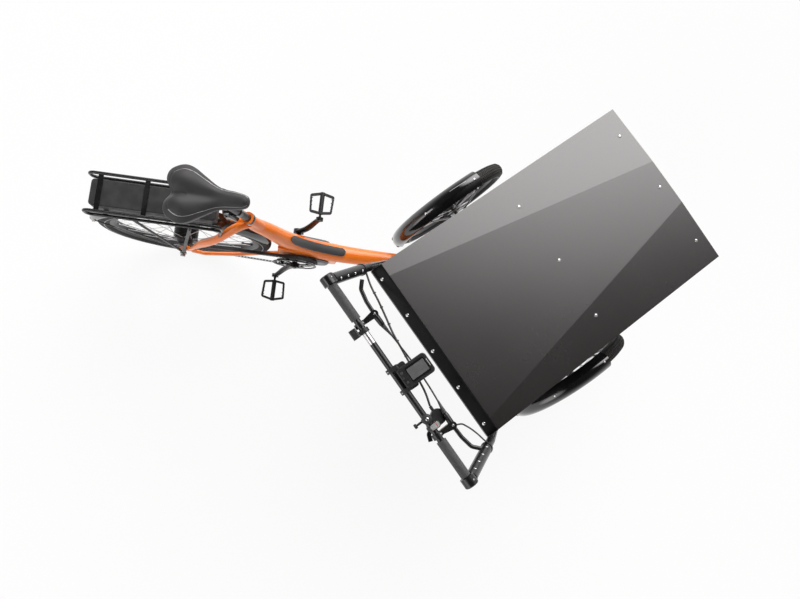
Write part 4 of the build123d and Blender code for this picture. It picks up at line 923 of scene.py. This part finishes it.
def makeCableTies():
    # a band round the cable halfway along each run, with its lock beside it
    look = {"route": [(292, 642, 921), (242, 652, 950), (186, 668, 992), (125, 686, 1030), (69, 694, 1049),
                      (20, 700, 1058)],
            "band": [(3.6, -2.2), (4.5, -1.7), (4.5, 1.7), (3.6, 2.2)], "lock": (4, 4.5, 6, 1),
            "lockWay": (0, -0.6, -0.8), "lockOut": 3}
    route = [Vector(point) for point in look["route"]]
    middles = [(low + high) / 2 for low, high in zip(route, route[1:])]
    bands = [facing(middle, high - low) for middle, low, high in zip(middles, route, route[1:])]
    locks = [facing(middle, look["lockWay"]) @ Matrix.Translation((0, 0, look["lockOut"]))
             for middle in middles]
    finishPiece([placed(turned(look["band"], 20), *bands), placed(plate(*look["lock"]), *locks)], "cableTies",
                "front_unit", "moulded")


makeDisplay()
makeBarBolts()
makeBarControls()
makeArmFittings()
makeLeverFittings()
makeCableTies()
print("handlebar fittings made")


def makeValves():
    look = {"shape": [(4.4, 0), (4.2, 3), (3.1, 5), (3.1, 17), (2.4, 18), (2.4, 30), (3.6, 31), (3.6, 38),
                      (2.6, 40)], "degrees": 200, "underBead": 15.5}
    angle = math.radians(look["degrees"])
    out = Vector((0, math.cos(angle), math.sin(angle)))
    for key, wheel in wheels.items():
        seat = wheel["centre"] + out * (wheel["bead"] - look["underBead"])
        finishPiece([placed(turned(look["shape"], 16), facing(seat, -out))], key + "Valve", key + "_wheel",
                    "keyRubber")


def makeFrontHubs():
    look = {"boltHead": (3.2, 1.6), "boltAt": (38.2, 0, 21), "capX": 37.6, "turns": range(0, 360, 60),
            "cap": [(13, 0), (13, 2), (11, 5.5), (9, 6.5), (4, 7)]}
    for key, side in (("front_left", 1), ("front_right", -1)):
        centre = wheels[key]["centre"]
        x, y, z = look["boltAt"]
        seat = facing((-side * x, y, z), (-side, 0, 0))
        places = [Matrix.Translation(centre) @ Matrix.Rotation(math.radians(angle), 4, "X") @ seat
                  for angle in look["turns"]]
        seat = facing(centre + Vector((side * look["capX"], 0, 0)), (side, 0, 0))
        cap = placed(turned(look["cap"], 32), seat)
        finishPiece([placed(boltHead(*look["boltHead"]), *places), cap], key + "HubFittings", key + "_wheel",
                    "plainSteel")


def makeRearHub():
    look = {"fins": range(-24, 25, 6), "fin": [(43.8, -1.4), (47.5, -0.8), (47.5, 0.8), (43.8, 1.4)],
            "nutX": 89.5, "nut": [(10.5, 0), (10.5, 8.8), (9.3, 10)],
            "washer": [(13.5, -2), (13.5, -0.4), (12.9, 0)]}
    centre = wheels["rear"]["centre"]
    fins = [facing(centre + Vector((x, 0, 0)), (1, 0, 0)) for x in look["fins"]]
    finishPiece([placed(turned(look["fin"], 64), *fins)], "hubFins", "rear_wheel", "powderCoat")
    ends = [facing(centre + Vector((side * look["nutX"], 0, 0)), (side, 0, 0)) for side in (-1, 1)]
    finishPiece([placed(turned(look["nut"], 6), *ends), placed(turned(look["washer"], 32), *ends)],
                "axleNuts", "frame", "brightSteel")


# the cranks stand turned back by "rest" degrees
crankPlace = {"centre": Vector((0, 953, 287)), "rest": 62.0, "length": 170, "pedalX": 161}


def makeCrankBolts():
    look = {"head": (5, 2.6), "ringRadius": 58, "ringX": 67.7, "capX": 80, "count": 4,
            "cap": [(9.5, 0), (9.5, 2), (8, 3.4), (4.5, 3.6), (4.2, 1.4)]}
    centre = crankPlace["centre"]
    ring = []
    for index in range(look["count"]):
        angle = math.radians(crankPlace["rest"] + 360 / look["count"] * index)
        out = Vector((0, math.cos(angle), math.sin(angle))) * look["ringRadius"]
        ring.append(facing(centre + out - Vector((look["ringX"], 0, 0)), (-1, 0, 0)))
    caps = [facing(centre + Vector((side * look["capX"], 0, 0)), (side, 0, 0)) for side in (-1, 1)]
    finishPiece([placed(boltHead(*look["head"]), *ring), placed(turned(look["cap"], 28), *caps)],
                "crankBolts", "crankset", "plainSteel")


def makePedalPins():
    look = {"x": (-22, -8, 8, 22), "pinY": 40, "studY": 43.5, "studZ": 8,
            "pin": [(2.6, -0.5), (2.4, 1.5), (1.4, 4), (0.6, 4.6)],
            "stud": [(1.7, -0.3), (1.7, 2.2), (1.1, 2.9)]}
    swing = math.radians(crankPlace["rest"])
    reach = crankPlace["length"] * Vector((0, -math.cos(swing), math.sin(swing)))
    for key, side in (("left_pedal", 1), ("right_pedal", -1)):
        centre = crankPlace["centre"] + side * (reach + Vector((crankPlace["pedalX"], 0, 0)))
        rails = [(x, way) for x in look["x"] for way in (-1, 1)]
        pins = [facing(centre + Vector((x, way * look["pinY"], 0)), (0, -way, 0)) for x, way in rails]
        studs = [facing(centre + Vector((x, way * look["studY"], face * look["studZ"])), (0, 0, face))
                 for x, way in rails for face in (-1, 1)]
        finishPiece([placed(turned(look["pin"], 10), *pins), placed(turned(look["stud"], 10), *studs)],
                    key + "Pins", key, "plainSteel")


makeValves()
makeFrontHubs()
makeRearHub()
makeCrankBolts()
makePedalPins()
print("wheels and drive fitted out")

# the seatpost leaves the seat tube here, and leans this way
postPlace = {"foot": Vector((0, 1113, 739)), "way": Vector((0, 0.3338, 0.9426)), "radius": 13.6}


def makeSeatClamp():
    look = {"collar": [(19.2, -8), (22.4, -7), (22.4, 7), (21.2, 8.5), (15, 8.5)], "boltHead": (4, 3.5),
            "boltAt": (-21, -6, 0), "boltWay": (-1, -0.3, 0)}
    foot = postPlace["foot"]
    collar = placed(turned(look["collar"], 40), facing(foot, postPlace["way"]))
    finishPiece([collar], "seatClamp", "frame", "powderCoat")
    bolt = placed(boltHead(*look["boltHead"]), facing(foot + Vector(look["boltAt"]), look["boltWay"]))
    finishPiece([bolt], "seatClampBolt", "frame", "brightSteel")


def makePostLamp():
    # rear lamp strapped to the seatpost, its lens to the back
    look = {"reach": 84, "body": (54, 84, 27, 18, 5), "bodyEdge": 2.2, "lens": (40, 68, 5, 17, 2),
            "lensEdge": 1.2, "lensSink": 0.6, "band": [(13.7, -10), (16.8, -8.5), (16.8, 8.5), (13.7, 10)]}
    way = postPlace["way"]
    back = Vector((0, way.z, -way.y))
    middle = postPlace["foot"] + way * look["reach"]
    turn = axesTurn(Vector((-1, 0, 0)), way, back)

    def onPost(piece, edge, out):
        rounded = applyModifier(piece, "BEVEL", width=edge, segments=3, limit_method="ANGLE")
        return placed(rounded, Matrix.Translation(middle + back * out) @ turn)

    body = onPost(plate(*look["body"]), look["bodyEdge"], postPlace["radius"])
    band = placed(turned(look["band"], 32), facing(middle, way))
    finishPiece([body, band], "postLampBody", "frame", "glossShell")
    seat = postPlace["radius"] + look["body"][2] - look["lensSink"]
    lens = onPost(plate(*look["lens"]), look["lensEdge"], seat)
    finishPiece([lens], "postLampLens", "frame", "reflector")


def makeStayBand():
    look = {"low": (-50, 1192, 664), "high": (-30, 1158, 690), "share": 0.55,
            "band": [(9.6, -3), (11.2, -2.4), (11.2, 2.4), (9.6, 3)]}
    low, high = Vector(look["low"]), Vector(look["high"])
    band = placed(turned(look["band"], 32), facing(low.lerp(high, look["share"]), high - low))
    finishPiece([band], "stayBand", "frame", "moulded")


def makeRackStraps():
    look = {"top": (64, 1299, 780), "foot": (83, 1388, 347), "width": 12, "thick": 2.4, "corner": 6,
            "edge": 0.5, "short": 8, "out": 5.4, "boltHead": (4, 2.6), "boltShares": (0.04, 0.955),
            "boltSink": 0.2}
    straps = []
    for side in (-1, 1):
        top, foot = onSide(side, look["top"], look["foot"])
        run = foot - top
        along = run.normalized()
        out = Vector((side, 0, 0))
        out = (out - out.dot(along) * along).normalized()
        strap = plate(look["width"], run.length - look["short"], look["thick"], look["corner"], look["edge"])
        middle = (top + foot) / 2 + out * look["out"]
        place = Matrix.Translation(middle) @ axesTurn(out.cross(along), along, out)
        lift = look["out"] + look["thick"] - look["boltSink"]
        bolts = [facing(top.lerp(foot, share) + out * lift, out) for share in look["boltShares"]]
        straps += [placed(strap, place), placed(boltHead(*look["boltHead"]), *bolts)]
    finishPiece(straps, "rackStraps", "frame", "strapSteel")


def makeTailBolts():
    look = {"head": (3.4, 2.4), "x": 29.8, "places": ((26, 344), (23, 349))}
    places = []
    for side in (-1, 1):
        for degrees, reach in look["places"]:
            angle = math.radians(degrees)
            out = Vector((side * look["x"], math.cos(angle) * reach, math.sin(angle) * reach))
            places.append(facing(wheels["rear"]["centre"] + out, (side, 0, 0)))
    finishPiece([placed(boltHead(*look["head"]), *places)], "tailBolts", "frame", "plainSteel")


def makeBattery():
    look = {"front": 1211, "rear": 1625, "x": 44.9, "seamZ": 804.4, "seamShort": 24,
            "seam": (2.0, 0.5, 0.8, 0.2), "ribZ": 821.4, "ribY": range(1250, 1600, 48),
            "rib": (30, 6, 0.8, 2.5, 0.3),
            "lockAt": (45, 1227, 816.4), "lock": [(9, -0.2), (9, 1.6), (7.6, 2.2), (3.2, 2.2), (3.0, 1.0)]}
    middle = (look["front"] + look["rear"]) / 2
    sides = (-1, 1)
    seam = plate(look["rear"] - look["front"] - look["seamShort"], *look["seam"])
    seams = [facing((side * look["x"], middle, look["seamZ"]), (side, 0, 0)) for side in sides]
    ribs = [facing((side * look["x"], y, look["ribZ"]), (side, 0, 0)) for side in sides for y in look["ribY"]]
    finishPiece([placed(seam, *seams), placed(plate(*look["rib"]), *ribs)], "batteryRibs", "frame",
                "batteryCase")
    lock = placed(turned(look["lock"], 28), facing(look["lockAt"], (1, 0, 0)))
    finishPiece([lock], "batteryLock", "frame", "brightSteel")


def makeBoxRivets():
    look = {"rivet": [(4.6, -0.2), (4.4, 0.8), (3.2, 1.6), (1.2, 1.9)], "half": 324.0, "front": -496.0,
            "rear": 498, "inset": 12, "posts": range(436, 671, 78), "sillZ": 408,
            "sill": range(-420, 480, 100)}
    places = []
    for side in (-1, 1):
        posts = [(y, z) for z in look["posts"] for y in (look["front"] + look["inset"], look["rear"])]
        posts += [(y, look["sillZ"]) for y in look["sill"]]
        places += [facing((side * look["half"], y, z), (side, 0, 0)) for y, z in posts]
        corner = side * (look["half"] - look["inset"])
        places += [facing((corner, look["front"], z), (0, -1, 0)) for z in look["posts"]]
    finishPiece([placed(turned(look["rivet"], 16), *places)], "boxRivets", "front_unit", "powderCoat")


makeSeatClamp()
makePostLamp()
makeStayBand()
makeRackStraps()
makeTailBolts()
makeBattery()
makeBoxRivets()
print("frame and box fitted out")

# the camera looks down on the tricycle from its right side
view = {
    "place": (-581.1, 830.6, 3448.2), "right": (0.110, -0.987, 0.1155), "up": (0.985, 0.124, 0.120),
    "lens": 35.1, "sensor": 36.0,
}
cameraData = bpy.data.cameras.new("camera")
cameraData.lens = view["lens"]
cameraData.sensor_width = view["sensor"]
camera = bpy.data.objects.new("camera", cameraData)
bpy.context.scene.collection.objects.link(camera)
right = Vector(view["right"]).normalized()
upward = Vector(view["up"])
upward = (upward - upward.dot(right) * right).normalized()
camera.matrix_world = Matrix.Translation(rearUnit @ Vector(view["place"])) @ axesTurn(
    right, upward, right.cross(upward))
bpy.context.scene.camera = camera
bpy.context.scene.view_settings.view_transform = "Standard"

# the floor is whitened for the camera and for reflections, and keeps the shadow
floorShape = {"size": 80, "shade": 0.86, "rough": 0.9, "whitening": 0.90,
              "rays": ("Is Camera Ray", "Is Glossy Ray", "Is Transmission Ray")}
bpy.ops.object.select_all(action="DESELECT")
bpy.ops.mesh.primitive_plane_add(size=floorShape["size"])
floor = bpy.context.object
floor.name = "floor"
floorLook = Finish("floorLook", rough=floorShape["rough"], color=gray(floorShape["shade"]))
rays = [floorLook.node("ShaderNodeLightPath", out=ray) for ray in floorShape["rays"]]
seen = floorLook.clamp(sum(rays[1:], rays[0]))
white = floorLook.node("ShaderNodeEmission", None, {"Color": gray(1), "Strength": 1.0})
whitened = floorLook.node("ShaderNodeMixShader", None, {
    0: seen * floorShape["whitening"], 1: Wire(floorLook, floorLook.shader.outputs[0]), 2: white})
floorLook.feed(floorLook.tree.nodes["Material Output"].inputs["Surface"], whitened)
floor.data.materials.append(floorLook.material)

# the studio is dark overhead, paler to the horizon, with two broad glows, and white behind the object
studio = {
    "tint": (1, 0.972, 0.972), "zenith": 0.06, "horizon": 0.75, "fall": (0.05, 0.62),
    "glows": [
        {"way": (0.76, -0.30, 0.58), "strength": 5.8, "edge": (0.82, 0.955)},
        {"way": (-0.74, 0.50, 0.40), "strength": 2.2, "edge": (0.88, 0.98)},
    ],
}
world = bpy.data.worlds.new("world")
bpy.context.scene.world = world
world.use_nodes = True
background = world.node_tree.nodes["Background"]
sky = ShaderBoard(world.node_tree)
way = sky.node("ShaderNodeTexCoord", out="Generated")
height = sky.node("ShaderNodeSeparateXYZ", None, {0: way}, out="Z")
level = sky.clamp(sky.span(height, *studio["fall"], studio["horizon"], studio["zenith"]))
for glow in studio["glows"]:
    toward = sky.vectorCalc("DOT_PRODUCT", way, tuple(Vector(glow["way"]).normalized()), "Value")
    level = level + sky.clamp(sky.span(toward, *glow["edge"], 0, 1)) * glow["strength"]
lensRay = sky.node("ShaderNodeLightPath", out="Is Camera Ray")
sky.feed(background.inputs["Color"], studio["tint"])
sky.feed(background.inputs["Strength"], lensRay + (1 - lensRay) * level)

lamps = {
    "stripLight": {"place": (2.6, 0.9, 2.4), "aim": (0, 0.4, 0.5), "size": (1.6, 0.35), "glow": 7.0},
    "rearSoftbox": {"place": (-1.5, 2.3, 3.0), "aim": (0, 0.6, 0.7), "size": (1.1, 0.9), "glow": 4.0},
}
for name, lamp in lamps.items():
    data = bpy.data.lights.new(name, "AREA")
    data.shape = "RECTANGLE"
    data.size, data.size_y = lamp["size"]
    data.energy = lamp["glow"] * math.pi * data.size * data.size_y
    light = bpy.data.objects.new(name, data)
    light.matrix_world = facing(lamp["place"], Vector(lamp["place"]) - Vector(lamp["aim"]))
    bpy.context.scene.collection.objects.link(light)
print("camera, floor and light set")
